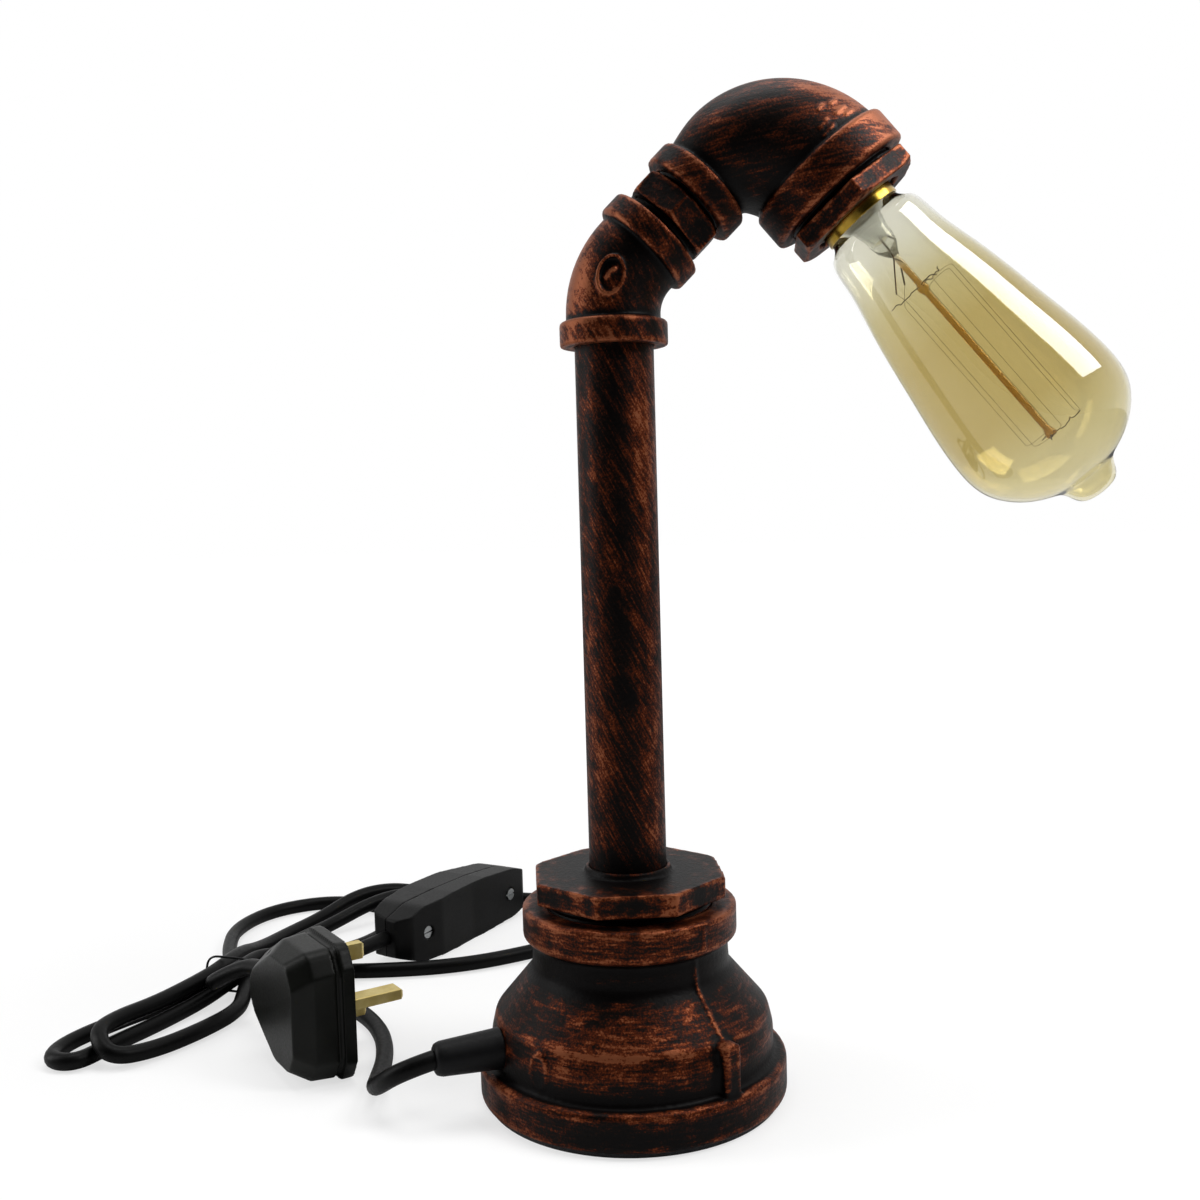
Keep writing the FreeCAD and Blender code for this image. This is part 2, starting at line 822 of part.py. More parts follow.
def bulb_glass():
    shell = glass_solid(0).cut(glass_solid(GLASS_WALL))
    pip = turned(((0, 160.4), (10.2, 159.3), (5.4, PIP_END, 3.2), (0, PIP_END)))
    return on_head(united([shell, pip]))


def bulb_stem():
    """Flare in the neck, press and the centre rod that carries the cage."""
    return on_head(
        turned(
            (
                (0, STEM_AT),
                (12.2, STEM_AT),
                (12.2, STEM_AT + 1),
                (6, STEM_AT + 5),
                (STEM_R, STEM_AT + 9),
                (STEM_R, STEM_TUBE_END),
                (ROD_R, PRESS_END),
                (ROD_R, ROD_END),
                (0, ROD_END),
            )
        )
    )


def cage_point(step, z):
    """Point on the cage, step counted in strands round the rod."""
    angle = math.radians(CAGE_TURN + 360 * (step + 0.5) / (CAGE_STRANDS + 1))
    return V(CAGE_R * math.cos(angle), CAGE_R * math.sin(angle), z)


def bulb_leads():
    """Two lead wires from the press to the filament's ends and the hooks that stretch it."""
    wires = []
    for step in (0, CAGE_STRANDS - 1):
        tip = cage_point(step, CAGE_LOW - 0.8)
        out = V(tip.x, tip.y, 0).normalize()
        start = out * (STEM_R + WIRE_R) + V(0, 0, STEM_TUBE_END)
        knee = out * KNEE_R + V(0, 0, PRESS_END + 1.5)
        wires.append(tube([tuple(start), tuple(knee), tuple(tip)], 2 * WIRE_R)[0])
    for step in range(CAGE_STRANDS - 1):
        z = CAGE_HIGH + 0.8 if step % 2 == 0 else CAGE_LOW - 0.8
        out = cage_point(step + 0.5, 0).normalize()
        start = out * (ROD_R + 0.05) + V(0, 0, z)
        wires.append(Part.makeCylinder(WIRE_R, CAGE_R * 0.93 - ROD_R, start, out))
    return on_head(Part.Compound(wires))


def bulb_filament():
    """Filament that runs up and down the cage, over one hook at each turn."""
    points = []
    for step in range(CAGE_STRANDS):
        ends = (CAGE_LOW, CAGE_HIGH) if step % 2 == 0 else (CAGE_HIGH, CAGE_LOW)
        points += [cage_point(step, z) for z in ends]
    path = rounded_wire(points, [FILAMENT_TURN] * len(points), False)
    return on_head(swept(path, 2 * FILAMENT_R))


def lamp_cord():
    return cord("lamp_cord", LAMP_CORD_ROUTE)


def plug_cord():
    return cord("plug_cord", PLUG_CORD_ROUTE)


def cord_tie():
    """Flat ring of wire round the bundle and its twisted tail."""
    ring = ((-13, 0.6, 1.5), (-13, 9.5, 3), (-8, 15.2, 3), (7, 15.2, 3), (19.3, 9, 3), (19.3, 0.6, 1.5))
    points = [V(x, 0, z) for x, z, _ in ring]
    path = rounded_wire(points, [r for _, _, r in ring], True)
    loop = swept(path, TIE_D)
    tail = tube(((-13.6, 0, 5), (-18, -1, 5.4), (-22, 2, 3.4), (-23.5, 6.5, 1.8)), 1.9)[0]
    return placed(Part.Compound([loop, tail]), TIE_AT, TIE_ACROSS, UP)


def switch_side(corners):
    """Half of the housing: side outline along the switch, rounded in plan and hollowed."""
    body = prism(corners, -SWITCH_HALF_W, SWITCH_HALF_W)
    half = (
        (-2, -8, 4),
        (12, -12.6, 20),
        (34, -SWITCH_HALF_W, 20),
        (60, -SWITCH_HALF_W, 20),
        (84, -12, 20),
        (97, -8, 4),
    )
    ring = list(half) + [(x, -y, r) for x, y, r in reversed(half)]
    plan = Part.Face(outline(ring, lambda x, z: V(x, -20, z))).extrude(V(0, 45, 0))
    return body.common(plan)


def rocker_opening():
    gap = 0.3
    reach = ROCKER_R + gap
    side = ROCKER_HALF_W + gap
    return block((ROCKER_AT - reach, ROCKER_AT + reach), (5, 25), (-side, side))


def switch_holes():
    """Clearance for the two assembly screws, from the flat side."""
    holes = []
    for x in SCREW_AT:
        holes.append(Part.makeCylinder(SCREW_R + 0.05, 21, V(x, -14, 0), V(0, 1, 0)))
        holes.append(Part.makeCylinder(SCREW_HEAD_R + 0.3, 4.5, V(x, -14.5, 0), V(0, 1, 0)))
    return holes


def switch_cavity():
    return block((22, 72), (-8.5, 9.5), (-SWITCH_HALF_W + SWITCH_WALL, SWITCH_HALF_W - SWITCH_WALL))


def switch_mouth():
    """Recess at the far end, where the cord to the plug leaves."""
    return across(rod(4.6, SWITCH_MOUTH, SWITCH_L + 3))


def switch_cover():
    corners = (
        (0, 0),
        (3.6, 10.5, 4),
        (30, 15.2, 20),
        (56, 15.8, 30),
        (88, 10.8, 5),
        (SWITCH_L, 2.5, 1.5),
        (SWITCH_L, 0),
    )
    body = switch_side(corners)
    pivot = Part.makeCylinder(ROCKER_PIN_R + 0.05, 15, V(ROCKER_AT, ROCKER_PIVOT, -7.5))
    for hollow in [rocker_opening(), switch_cavity(), pivot, switch_mouth()] + switch_holes():
        body = body.cut(hollow)
    return on_switch(body)


def switch_base():
    corners = (
        (0, 0),
        (-0.8, -6, 2),
        (3.5, -11.8, 4),
        (24, -13.3, 20),
        (50, -11.2, 40),
        (93.5, -11.5, 5),
        (SWITCH_L, -4, 2),
        (SWITCH_L, 0),
    )
    body = switch_side(corners)
    for hollow in [switch_cavity(), switch_mouth()] + switch_holes():
        body = body.cut(hollow)
    return on_switch(body)


def switch_screws():
    screws = []
    for x in SCREW_AT:
        head = Part.makeCylinder(SCREW_HEAD_R, 2, V(x, -12, 0), V(0, 1, 0))
        shank = Part.makeCylinder(SCREW_R, 16, V(x, -10.5, 0), V(0, 1, 0))
        screws.append(united([head, shank]))
    return on_switch(Part.Compound(screws))


def switch_contacts():
    bars = [block((x, x + 13), (-8.5, -3.5), (-3, 3)) for x in (25, 56)]
    return on_switch(Part.Compound(bars))


def switch_rocker():
    """Rocker with one half level and the other sloping away, on a pin across the switch."""
    disc = Part.makeCylinder(ROCKER_R, 2 * ROCKER_HALF_W, V(ROCKER_AT, ROCKER_PIVOT, -ROCKER_HALF_W))
    slope = 12 * math.tan(math.radians(ROCKER_TILT))
    low = ROCKER_PIVOT - 5.5
    faces = (
        (ROCKER_AT - 12, low),
        (ROCKER_AT + 12, low),
        (ROCKER_AT + 12, ROCKER_TOP - slope),
        (ROCKER_AT, ROCKER_TOP),
        (ROCKER_AT - 12, ROCKER_TOP),
    )
    body = disc.common(prism(faces, -ROCKER_HALF_W, ROCKER_HALF_W))
    pin = Part.makeCylinder(ROCKER_PIN_R, 14.4, V(ROCKER_AT, ROCKER_PIVOT, -7.2))
    return on_switch(united([body, pin]))


def plug_wire(inset, x):
    """The plug's outline, drawn in by inset, in the plane at x."""
    corners = []
    for y, z, radius in PLUG_OUTLINE:
        scale_y = (abs(y) - inset) / abs(y)
        scale_z = (abs(z) - inset) / abs(z)
        corners.append((y * scale_y, z * scale_z, radius))
    return outline(corners, lambda y, z: V(x, y, z))


def plug_slab(inset, low, high):
    return Part.Face(plug_wire(inset, low)).extrude(V(high - low, 0, 0))


def drawer_box(play, front):
    half_w = DRAWER_W / 2 + play
    half_l = DRAWER_L / 2 + play
    return block((DRAWER_BACK - play, front), (FUSE_ROW - half_w, FUSE_ROW + half_w), (-half_l, half_l))


def plug_base():
    body = united([plug_slab(0, PLUG_SPLIT + 2, PLUG_FACE), plug_slab(1.4, PLUG_SPLIT, PLUG_SPLIT + 2)])
    body = body.cut(drawer_box(DRAWER_PLAY, PLUG_FACE + 1))
    body = body.cut(across(rod(3.3, PLUG_FACE - 2.4, PLUG_FACE + 1)).translate(V(0, 15, 0)))
    return on_plug(body)


def plug_cover():
    rings = [plug_wire(1.0, PLUG_SPLIT), plug_wire(1.6, -4), plug_wire(5.5, PLUG_BACK)]
    shell = Part.makeLoft(rings, True, True)
    cavity = block((PLUG_BACK + 3, PLUG_SPLIT), (-20, 10), (-17, 17))
    return on_plug(shell.cut(cavity))


def plug_screw():
    head = across(rod(3.0, PLUG_FACE - 2.4, PLUG_FACE - 0.6))
    slot = block((PLUG_FACE - 1.4, PLUG_FACE), (-3, 3), (-0.5, 0.5))
    return on_plug(head.cut(slot).translate(V(0, 15, 0)))


def plug_collar():
    """Open-ended collar; the cord stops on the floor of its bore."""
    collar = turned(
        (
            (0, PLUG_END),
            (COLLAR_R + 0.6, PLUG_END),
            (COLLAR_R, PLUG_END + 4),
            (COLLAR_R, COLLAR_END, 0.5),
            (COLLAR_BORE_R, COLLAR_END, 0.3),
            (COLLAR_BORE_R, COLLAR_BOTTOM),
            (0, COLLAR_BOTTOM),
        )
    )
    return on_plug(placed(collar, ORIGIN, V(1, 0, 0), V(0, 1, 0)))


def bar(width, thickness, low, high, chamfer):
    """Rectangular bar along X with its far end chamfered."""
    body = block((low, high), (-thickness / 2, thickness / 2), (-width / 2, width / 2))
    if chamfer:
        tip = [e for e in body.Edges if all(abs(v.X - high) < 1e-6 for v in e.Vertexes)]
        body = body.makeChamfer(chamfer, tip)
    return body


def phase_pin(side):
    """Flat pin whose root half is reduced to take an insulating sleeve."""
    core = bar(PIN_CORE_W, PIN_CORE_T, PLUG_FACE, PLUG_FACE + SLEEVED, 0)
    tip = bar(PIN_W, PIN_T, PLUG_FACE + SLEEVED, PLUG_FACE + PIN_L, PIN_CHAMFER)
    return on_plug(united([core, tip]).translate(V(0, PIN_ROW, side * PIN_SPREAD)))


def live_pin():
    return phase_pin(-1)


def neutral_pin():
    return phase_pin(1)


def earth_pin():
    pin = bar(PIN_T, EARTH_W, PLUG_FACE, PLUG_FACE + EARTH_L, PIN_CHAMFER)
    return on_plug(pin.translate(V(0, EARTH_ROW, 0)))


def pin_sleeves():
    sleeves = []
    for side in (-1, 1):
        outer = bar(PIN_W, PIN_T, PLUG_FACE, PLUG_FACE + SLEEVED, 0)
        inner = bar(PIN_CORE_W, PIN_CORE_T, PLUG_FACE, PLUG_FACE + SLEEVED, 0)
        sleeves.append(outer.cut(inner).translate(V(0, PIN_ROW, side * PIN_SPREAD)))
    return on_plug(Part.Compound(sleeves))


def fuse_solid(radius, length):
    return Part.makeCylinder(radius, length, V(FUSE_AT, FUSE_ROW, -length / 2))


def fuse_carrier():
    """Drawer in the pin face, open at the back round the fuse."""
    body = drawer_box(0, PLUG_FACE)
    return on_plug(body.cut(fuse_solid(FUSE_R + 0.05, FUSE_L + 0.2)))


def fuse():
    return on_plug(fuse_solid(FUSE_R, FUSE_L))


PIECES = (
    felt_pad,
    base_reducer,
    base_bushing,
    stem_pipe,
    cord_gland,
    gland_nut,
    terminal_block,
    terminal_screws,
    cord_tail,
    earth_tag,
    earth_screw,
    earth_nut,
    lead_stem,
    lamp_cord,
    plug_cord,
    cord_tie,
    switch_base,
    switch_cover,
    switch_screws,
    switch_contacts,
    switch_rocker,
    plug_base,
    plug_cover,
    plug_screw,
    plug_collar,
    live_pin,
    neutral_pin,
    earth_pin,
    pin_sleeves,
    fuse_carrier,
    fuse,
    elbow_45,
    hex_nipple,
    lead_arm,
    reducing_elbow,
    head_bushing,
    lead_head,
    holder_sleeve,
    holder_insert,
    holder_shell,
    holder_contact,
    holder_screws,
    bulb_contact,
    bulb_insulator,
    bulb_cap,
    bulb_glass,
    bulb_stem,
    bulb_leads,
    bulb_filament,
)

os.makedirs("parts", exist_ok=True)
for piece in PIECES:
    shape = piece()
    if not shape.isValid() or shape.Volume <= 0:
        raise ValueError(piece.__name__ + " is not a valid solid")
    shape.exportStep("parts/" + piece.__name__ + ".step")
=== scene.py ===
import json
import math

import bmesh
import bpy
import numpy as np
from mathutils import Matrix, Vector

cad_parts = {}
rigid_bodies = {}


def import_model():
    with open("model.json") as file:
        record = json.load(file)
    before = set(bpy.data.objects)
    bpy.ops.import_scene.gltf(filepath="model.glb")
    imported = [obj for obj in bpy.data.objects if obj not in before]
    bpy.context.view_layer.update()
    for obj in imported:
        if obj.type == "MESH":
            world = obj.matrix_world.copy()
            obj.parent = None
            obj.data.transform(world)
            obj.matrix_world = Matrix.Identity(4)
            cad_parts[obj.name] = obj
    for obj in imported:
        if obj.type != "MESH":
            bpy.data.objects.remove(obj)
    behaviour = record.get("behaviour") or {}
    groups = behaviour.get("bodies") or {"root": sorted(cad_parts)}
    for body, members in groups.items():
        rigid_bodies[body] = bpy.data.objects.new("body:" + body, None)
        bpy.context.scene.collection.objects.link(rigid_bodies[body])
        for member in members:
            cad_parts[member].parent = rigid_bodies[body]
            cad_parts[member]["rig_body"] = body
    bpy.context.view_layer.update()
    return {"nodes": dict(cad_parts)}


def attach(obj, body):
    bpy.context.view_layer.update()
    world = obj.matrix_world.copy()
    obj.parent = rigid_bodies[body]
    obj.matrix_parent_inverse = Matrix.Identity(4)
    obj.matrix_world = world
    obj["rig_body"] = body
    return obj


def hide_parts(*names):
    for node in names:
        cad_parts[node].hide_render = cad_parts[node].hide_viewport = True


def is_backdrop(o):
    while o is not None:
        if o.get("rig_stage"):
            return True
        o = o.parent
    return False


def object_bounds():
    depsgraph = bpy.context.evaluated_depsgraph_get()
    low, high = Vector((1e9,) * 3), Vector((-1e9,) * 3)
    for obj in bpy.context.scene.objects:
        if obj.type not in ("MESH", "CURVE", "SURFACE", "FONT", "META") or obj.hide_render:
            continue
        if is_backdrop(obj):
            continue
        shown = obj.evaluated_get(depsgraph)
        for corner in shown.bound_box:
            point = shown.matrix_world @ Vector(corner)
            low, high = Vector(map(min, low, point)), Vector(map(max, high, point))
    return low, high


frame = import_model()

# ------------------------------
# Foot. A malleable iron bell reducer, sand cast with two wrench ribs, standing
# on its wide end. It is sprayed black and dry-brushed with antique copper.

MM = 0.001
BEAD_SIDES = 10


def applied(piece):
    """Makes the piece's modifiers its own mesh."""
    depsgraph = bpy.context.evaluated_depsgraph_get()
    mesh = bpy.data.meshes.new_from_object(piece.evaluated_get(depsgraph))
    piece.modifiers.clear()
    piece.data = mesh
    mesh.shade_smooth()


def in_scene(name, data):
    piece = bpy.data.objects.new(name, data)
    bpy.context.collection.objects.link(piece)
    return piece


def round_turn(steps):
    """Angles of evenly spaced steps round a full turn."""
    return [2 * math.pi * k / steps for k in range(steps)]


def joined(skin, low, high):
    """Adds the faces between two rings with as many points each."""
    for k in range(len(low)):
        n = (k + 1) % len(low)
        skin.faces.new((low[k], low[n], high[n], high[k]))


def mesh_from(name, skin):
    mesh = bpy.data.meshes.new(name)
    skin.to_mesh(mesh)
    skin.free()
    return mesh


def bead(points, plane, radius, closed=False):
    """Closed round bar through points in millimetres that lie about a plane with that normal."""
    points = [Vector(p) for p in points]
    plane = Vector(plane).normalized()
    count = len(points)
    skin = bmesh.new()
    rings = []
    for i, point in enumerate(points):
        before = points[i - 1] if closed or i else point
        after = points[(i + 1) % count] if closed or i < count - 1 else point
        side = (after - before).cross(plane).normalized()
        spokes = [math.cos(t) * plane + math.sin(t) * side for t in round_turn(BEAD_SIDES)]
        rings.append([skin.verts.new((point + radius * spoke) * MM) for spoke in spokes])
    for low, high in zip(rings, rings[1:] + (rings[:1] if closed else [])):
        joined(skin, low, high)
    if not closed:
        skin.faces.new(rings[0])
        skin.faces.new(rings[-1])
    bmesh.ops.recalc_face_normals(skin, faces=skin.faces)
    return mesh_from("bead", skin)


WELD = 0.002


def casting(name, node, voxel, passes, extras=()):
    """Evenly meshed copy of a CAD solid and its raised marks, with edges as soft as a mould's."""
    skin = bmesh.new()
    skin.from_mesh(frame["nodes"][node].data)
    bmesh.ops.remove_doubles(skin, verts=skin.verts, dist=WELD * MM)
    for extra in extras:
        skin.from_mesh(extra)
    piece = in_scene(name, mesh_from(name, skin))
    remesh = piece.modifiers.new("even skin", "REMESH")
    remesh.mode = "VOXEL"
    remesh.voxel_size = voxel * MM
    soften = piece.modifiers.new("soft edges", "SMOOTH")
    soften.iterations = passes
    applied(piece)
    return piece


def places(mesh):
    """The points of a mesh and their normals, in millimetres."""
    count = len(mesh.vertices)
    place = np.empty(count * 3)
    normal = np.empty(count * 3)
    mesh.vertices.foreach_get("co", place)
    mesh.vertices.foreach_get("normal", normal)
    return place.reshape(-1, 3) / MM, normal.reshape(-1, 3)


NEAR_STEPS, EVEN_STEPS = 8, 36
PROUD_FULL, SUNK_FULL = 0.16, 0.5


def painted(piece, bias, strokes_and_painted_light):
    """Stores where the skin stands proud, where it is hollow, and how much copper lies there.

    The skin is compared with smoother copies of itself. A stroke is a centre, a reach along x, y and z in
    millimetres and the copper that it adds; a few strokes add or take away copper as a painted highlight
    or a painted shade."""
    mesh = piece.data
    place, normal = places(mesh)
    count = len(place)
    pairs = np.empty(len(mesh.edges) * 2, np.int32)
    mesh.edges.foreach_get("vertices", pairs)
    a, b = pairs.reshape(-1, 2).T
    degree = np.maximum(np.bincount(a, minlength=count) + np.bincount(b, minlength=count), 1)
    even = place.copy()
    for step in range(EVEN_STEPS):
        sums = [np.bincount(a, even[b, k], count) + np.bincount(b, even[a, k], count) for k in range(3)]
        even = np.stack(sums, 1) / degree[:, None]
        if step == NEAR_STEPS - 1:
            near = even.copy()
    proud = ((place - near) * normal).sum(1)
    sunk = -((place - even) * normal).sum(1)
    copper = np.full(count, float(bias))
    for centre, reach, amount in strokes_and_painted_light:
        away = ((place - np.array(centre)) / np.array(reach)) ** 2
        copper += amount * np.exp(-away.sum(1))
    for label, values in (
        ("edge", np.clip(proud / PROUD_FULL, 0, 1)),
        ("hollow", np.clip(sunk / SUNK_FULL, 0, 1)),
        ("copper", copper),
    ):
        mesh.attributes.new(label, "FLOAT", "POINT").data.foreach_set("value", values.astype(np.float32))


def linear(code):
    """Linear colour of an sRGB hex value."""
    parts = [int(code[i : i + 2], 16) / 255 for i in (1, 3, 5)]
    return tuple(c / 12.92 if c <= 0.04045 else ((c + 0.055) / 1.055) ** 2.4 for c in parts) + (1.0,)


def feed(node, inputs):
    """Fills a node's inputs: each a value, a socket, or a node whose first output is meant."""
    for key, value in inputs.items():
        if isinstance(value, bpy.types.Node):
            value = value.outputs[0]
        if isinstance(value, bpy.types.NodeSocket):
            node.id_data.links.new(value, node.inputs[key])
        else:
            node.inputs[key].default_value = value


def add(tree, kind, inputs=None, stops=(), **settings):
    """Adds a node with its settings, its inputs and a ramp's (position, hex) stops."""
    made = tree.nodes.new(kind)
    for name, value in settings.items():
        setattr(made, name, value)
    if stops:
        elements = made.color_ramp.elements
        while len(elements) < len(stops):
            elements.new(0.5)
        for element, (position, code) in zip(elements, stops):
            element.position, element.color = position, linear(code)
    feed(made, inputs or {})
    return made


def empty_tree(owner):
    """The node tree of a material or world, with nothing in it."""
    owner.use_nodes = True
    owner.node_tree.nodes.clear()
    return owner.node_tree


def new_material(name):
    """Material with only its output and principled shader, and where the piece lies."""
    material = bpy.data.materials.new(name)
    tree = empty_tree(material)
    shader = add(tree, "ShaderNodeBsdfPrincipled")
    add(tree, "ShaderNodeOutputMaterial", {"Surface": shader})
    return material, tree, shader, add(tree, "ShaderNodeTexCoord").outputs["Object"]


# The grain of the sand mould is about 0.3 mm and is drawn coarser, so that it shows.
GRIT, SAND = 0.75, 1.3
# Black enamel through to copper. The palest stop is lighter and pinker than the copper itself, a painted
# sheen where the copper lies fullest.
ENAMEL_TO_COPPER_AND_SHEEN = (
    (0.0, "#040202"), (0.3, "#0b0503"), (0.46, "#210b04"),
    (0.62, "#3b1709"), (0.82, "#5a2711"), (1.0, "#80492f"),
)


def aged_copper(name, turn, stretch, width):
    """Black enamel on cast iron, dry-brushed with copper paint.

    The brush drags copper over the grain of the sand mould in fine bristle lines, so it lies in
    broken streaks, full on edges and absent from hollows. turn, in degrees, lays the brush's way
    along X, stretch is the length of a streak and width that of a bristle line in millimetres."""
    material, tree, shader, place = new_material(name)
    laid = add(tree, "ShaderNodeMapping", {"Vector": place, "Rotation": [math.radians(a) for a in turn]})
    fine_scale, broad_scale = (
        [1 / (size * MM) for size in (*stretch, thick)] for thick in (width, 6 * width)
    )
    fine = add(tree, "ShaderNodeMapping", {"Vector": laid, "Scale": fine_scale})
    broad = add(tree, "ShaderNodeMapping", {"Vector": laid, "Scale": broad_scale})
    bristle = add(
        tree, "ShaderNodeTexNoise", {"Vector": fine, "Scale": 1.0, "Detail": 4.0, "Roughness": 0.62}
    )
    patch = add(
        tree, "ShaderNodeTexNoise", {"Vector": broad, "Scale": 1.0, "Detail": 2.0, "Roughness": 0.5}
    )
    grit = add(
        tree, "ShaderNodeTexNoise",
        {"Vector": place, "Scale": 1 / (GRIT * MM), "Detail": 3.0, "Roughness": 0.65},
    )
    total = add(tree, "ShaderNodeAttribute", attribute_name="copper").outputs["Fac"]
    for source, weight, middle in (
        (bristle, 3.2, 0.5),
        (patch, 2.4, 0.5),
        (grit, 2.8, 0.5),
        (add(tree, "ShaderNodeAttribute", attribute_name="edge").outputs["Fac"], 0.9, 0.0),
        (add(tree, "ShaderNodeAttribute", attribute_name="hollow").outputs["Fac"], -1.8, 0.0),
    ):
        share = add(tree, "ShaderNodeMath", {0: source, 1: middle}, operation="SUBTRACT")
        total = add(tree, "ShaderNodeMath", {0: share, 1: weight, 2: total}, operation="MULTIPLY_ADD")
    paint = add(tree, "ShaderNodeMapRange", {"Value": total, "From Min": -0.9, "From Max": 1.1})
    colour = add(tree, "ShaderNodeValToRGB", {"Fac": paint}, stops=ENAMEL_TO_COPPER_AND_SHEEN)
    metal = add(
        tree, "ShaderNodeMapRange", {"Value": paint, "From Min": 0.4, "From Max": 0.8, "To Max": 0.55}
    )
    rough = add(tree, "ShaderNodeMapRange", {"Value": grit, "To Min": 0.36, "To Max": 0.56})
    sand = add(
        tree, "ShaderNodeTexNoise",
        {"Vector": place, "Scale": 1 / (SAND * MM), "Detail": 4.0, "Roughness": 0.6},
    )
    relief = add(tree, "ShaderNodeMath", {0: paint, 1: 0.35, 2: sand}, operation="MULTIPLY_ADD")
    bump = add(tree, "ShaderNodeBump", {"Height": relief, "Strength": 0.5, "Distance": 0.25 * MM})
    feed(shader, {"Base Color": colour, "Metallic": metal, "Roughness": rough, "Normal": bump})
    feed(shader, {"Specular IOR Level": 0.07})
    return material


def covered(piece, material):
    piece.data.materials.clear()
    piece.data.materials.append(material)


def stands_for(piece, node):
    """The piece rides where its CAD node does and hides it."""
    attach(piece, frame["nodes"][node]["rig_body"])
    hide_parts(node)


def finished(piece, material, node):
    """Gives a piece its finish and its node's place."""
    covered(piece, material)
    stands_for(piece, node)


def dry_brushed(piece, node, ground, slot="aged_copper_casting", **brush):
    """Gives a piece its coat of aged copper and its node's place."""
    finished(piece, aged_copper("dry_brushed_copper_on_" + ground, **brush), node)


def around(angle, radius, height):
    turn = math.radians(angle)
    return (radius * math.cos(turn), radius * math.sin(turn), height)


OVAL_STEPS, SUNK_IN = 40, 0.1


def oval(centre, half_wide, half_high, lean, on_surface):
    """Points of an upright oval about a centre (across, height), laid on a surface."""
    points = []
    for t in round_turn(OVAL_STEPS):
        wide, high = half_wide * math.cos(t), half_high * math.sin(t)
        across = wide * math.cos(lean) + high * math.sin(lean)
        height = high * math.cos(lean) - wide * math.sin(lean)
        points.append(on_surface(centre[0] + across, centre[1] + height))
    return points


BAND_R, COLLAR_R = 48.9, 36.9
PARTING_ANGLES = (-52, 128)
MARK_ANGLE = -129
SHOULDER = (
    (47.3, 31.0), (44.5, 34.0), (40.6, 38.5), (36.8, 43.0), (34.7, 46.2), (33.95, 50.0), (33.8, 54.0)
)

foot_marks = []
for parting in PARTING_ANGLES:
    across_it = around(parting + 90, 1, 0)
    foot_marks.append(bead([around(parting, r, z) for r, z in SHOULDER], across_it, radius=0.62))
    on_collar = [around(parting + 3, COLLAR_R, z) for z in (57.6, 62, 66)]
    foot_marks.append(bead(on_collar, across_it, radius=0.55))


def on_band(across, height):
    """Point on the foot's band, a length in millimetres either side of the mark's angle."""
    return around(MARK_ANGLE + math.degrees(across / BAND_R), BAND_R - SUNK_IN, height)


ring = oval((0, 22.5), 3.4, 5.4, 0, on_band)
foot_marks.append(bead(ring, around(MARK_ANGLE, 1, 0), radius=0.5, closed=True))

foot = casting("foot_reducer", "base_reducer", voxel=0.77, passes=3, extras=foot_marks)
painted(
    foot,
    bias=-0.35,
    strokes_and_painted_light=(
        ((-8, -42, 36), (34, 22, 6), 0.65),
        ((-12, -46, 28), (30, 20, 4), 0.5),
        ((30, -36, 34), (14, 18, 8), 0.3),
        ((-24, -42, 23), (16, 14, 6), 0.3),
        ((-44, -30, 8), (20, 26, 8), 0.5),
        # Less copper on the front of the flange: partly a painted shade, as the light falls from above.
        ((5, -52, 4), (34, 20, 7), -0.7),
        ((40, -34, 8), (14, 20, 8), 0.25),
        ((-32, -38, 20), (9, 14, 8), -0.3),
        ((0, 0, 50), (60, 60, 5), -0.6),
        ((0, 0, 15.6), (70, 70, 1.2), -1.2),
        ((0, 0, 62), (60, 60, 6), 0.65),
        ((30, 40, 25), (40, 30, 12), 0.5),
    ),
)
dry_brushed(foot, "base_reducer", "cast_iron_foot", turn=(0, 0, 0), stretch=(7, 7), width=0.9)

# ------------------------------
# Octagon bushing. A cast reducing bushing screwed into the foot's collar, its
# flats rough where casting marks were, with a fillet of paint round the pipe.

COARSE_PITCH, SKIN_BAND = 2.31, 0.8


def screw_cut(piece, to_local, radius, pitch, depth, low, high):
    """Cuts a thread into the skin of a given radius between two heights of a local frame."""
    place, normal = places(piece.data)
    local = to_local(place)
    reach = np.hypot(local[:, 0], local[:, 1])
    turn = np.arctan2(local[:, 1], local[:, 0]) / (2 * math.pi)
    inside = (np.abs(reach - radius) < SKIN_BAND) & (local[:, 2] > low) & (local[:, 2] < high)
    phase = (local[:, 2] / pitch - turn) % 1.0
    cut = depth * (1 - np.abs(2 * phase - 1))
    place -= normal * (cut * inside)[:, None]
    piece.data.vertices.foreach_set("co", (place * MM).ravel())
    piece.data.update()


bushing = casting("octagon_bushing", "base_bushing", voxel=0.55, passes=2)
screw_cut(bushing, lambda place: place, radius=29.0, pitch=COARSE_PITCH, depth=0.9, low=66.0, high=69.9)
painted(
    bushing,
    bias=0.05,
    strokes_and_painted_light=(
        # No copper on the thread under the octagon: bare enamel, and partly a painted shade in the gap
        # where it enters the foot.
        ((0, 0, 68.5), (60, 60, 1.4), -1.6),
        ((0, 0, 78.2), (27, 27, 1.0), -0.7),
        ((0, 0, 79.0), (17, 17, 3.0), -2.6),
        ((-27, -18, 75), (6, 9, 3), -0.35),
        ((0, -33, 75), (8, 6, 3), -0.45),
        ((26, -22, 74.5), (7, 9, 3.5), -0.9),
        ((12, -32, 73), (4, 8, 4), 0.5),
    ),
)
dry_brushed(bushing, "base_bushing", "bushing", turn=(0, 0, 30), stretch=(5, 5), width=1.6)

# ------------------------------
# Felt pad. Pressed wool felt, die cut to a disc and glued up inside the foot's
# rim, where it keeps the iron off the table.

CREASE = math.radians(38)


def shaped(name, skin, to_place):
    """Makes a skin drawn in millimetres a piece at its place."""
    mesh = mesh_from(name, skin)
    mesh.transform(to_place)
    mesh.shade_smooth()
    mesh.set_sharp_from_angle(angle=CREASE)
    return in_scene(name, mesh)


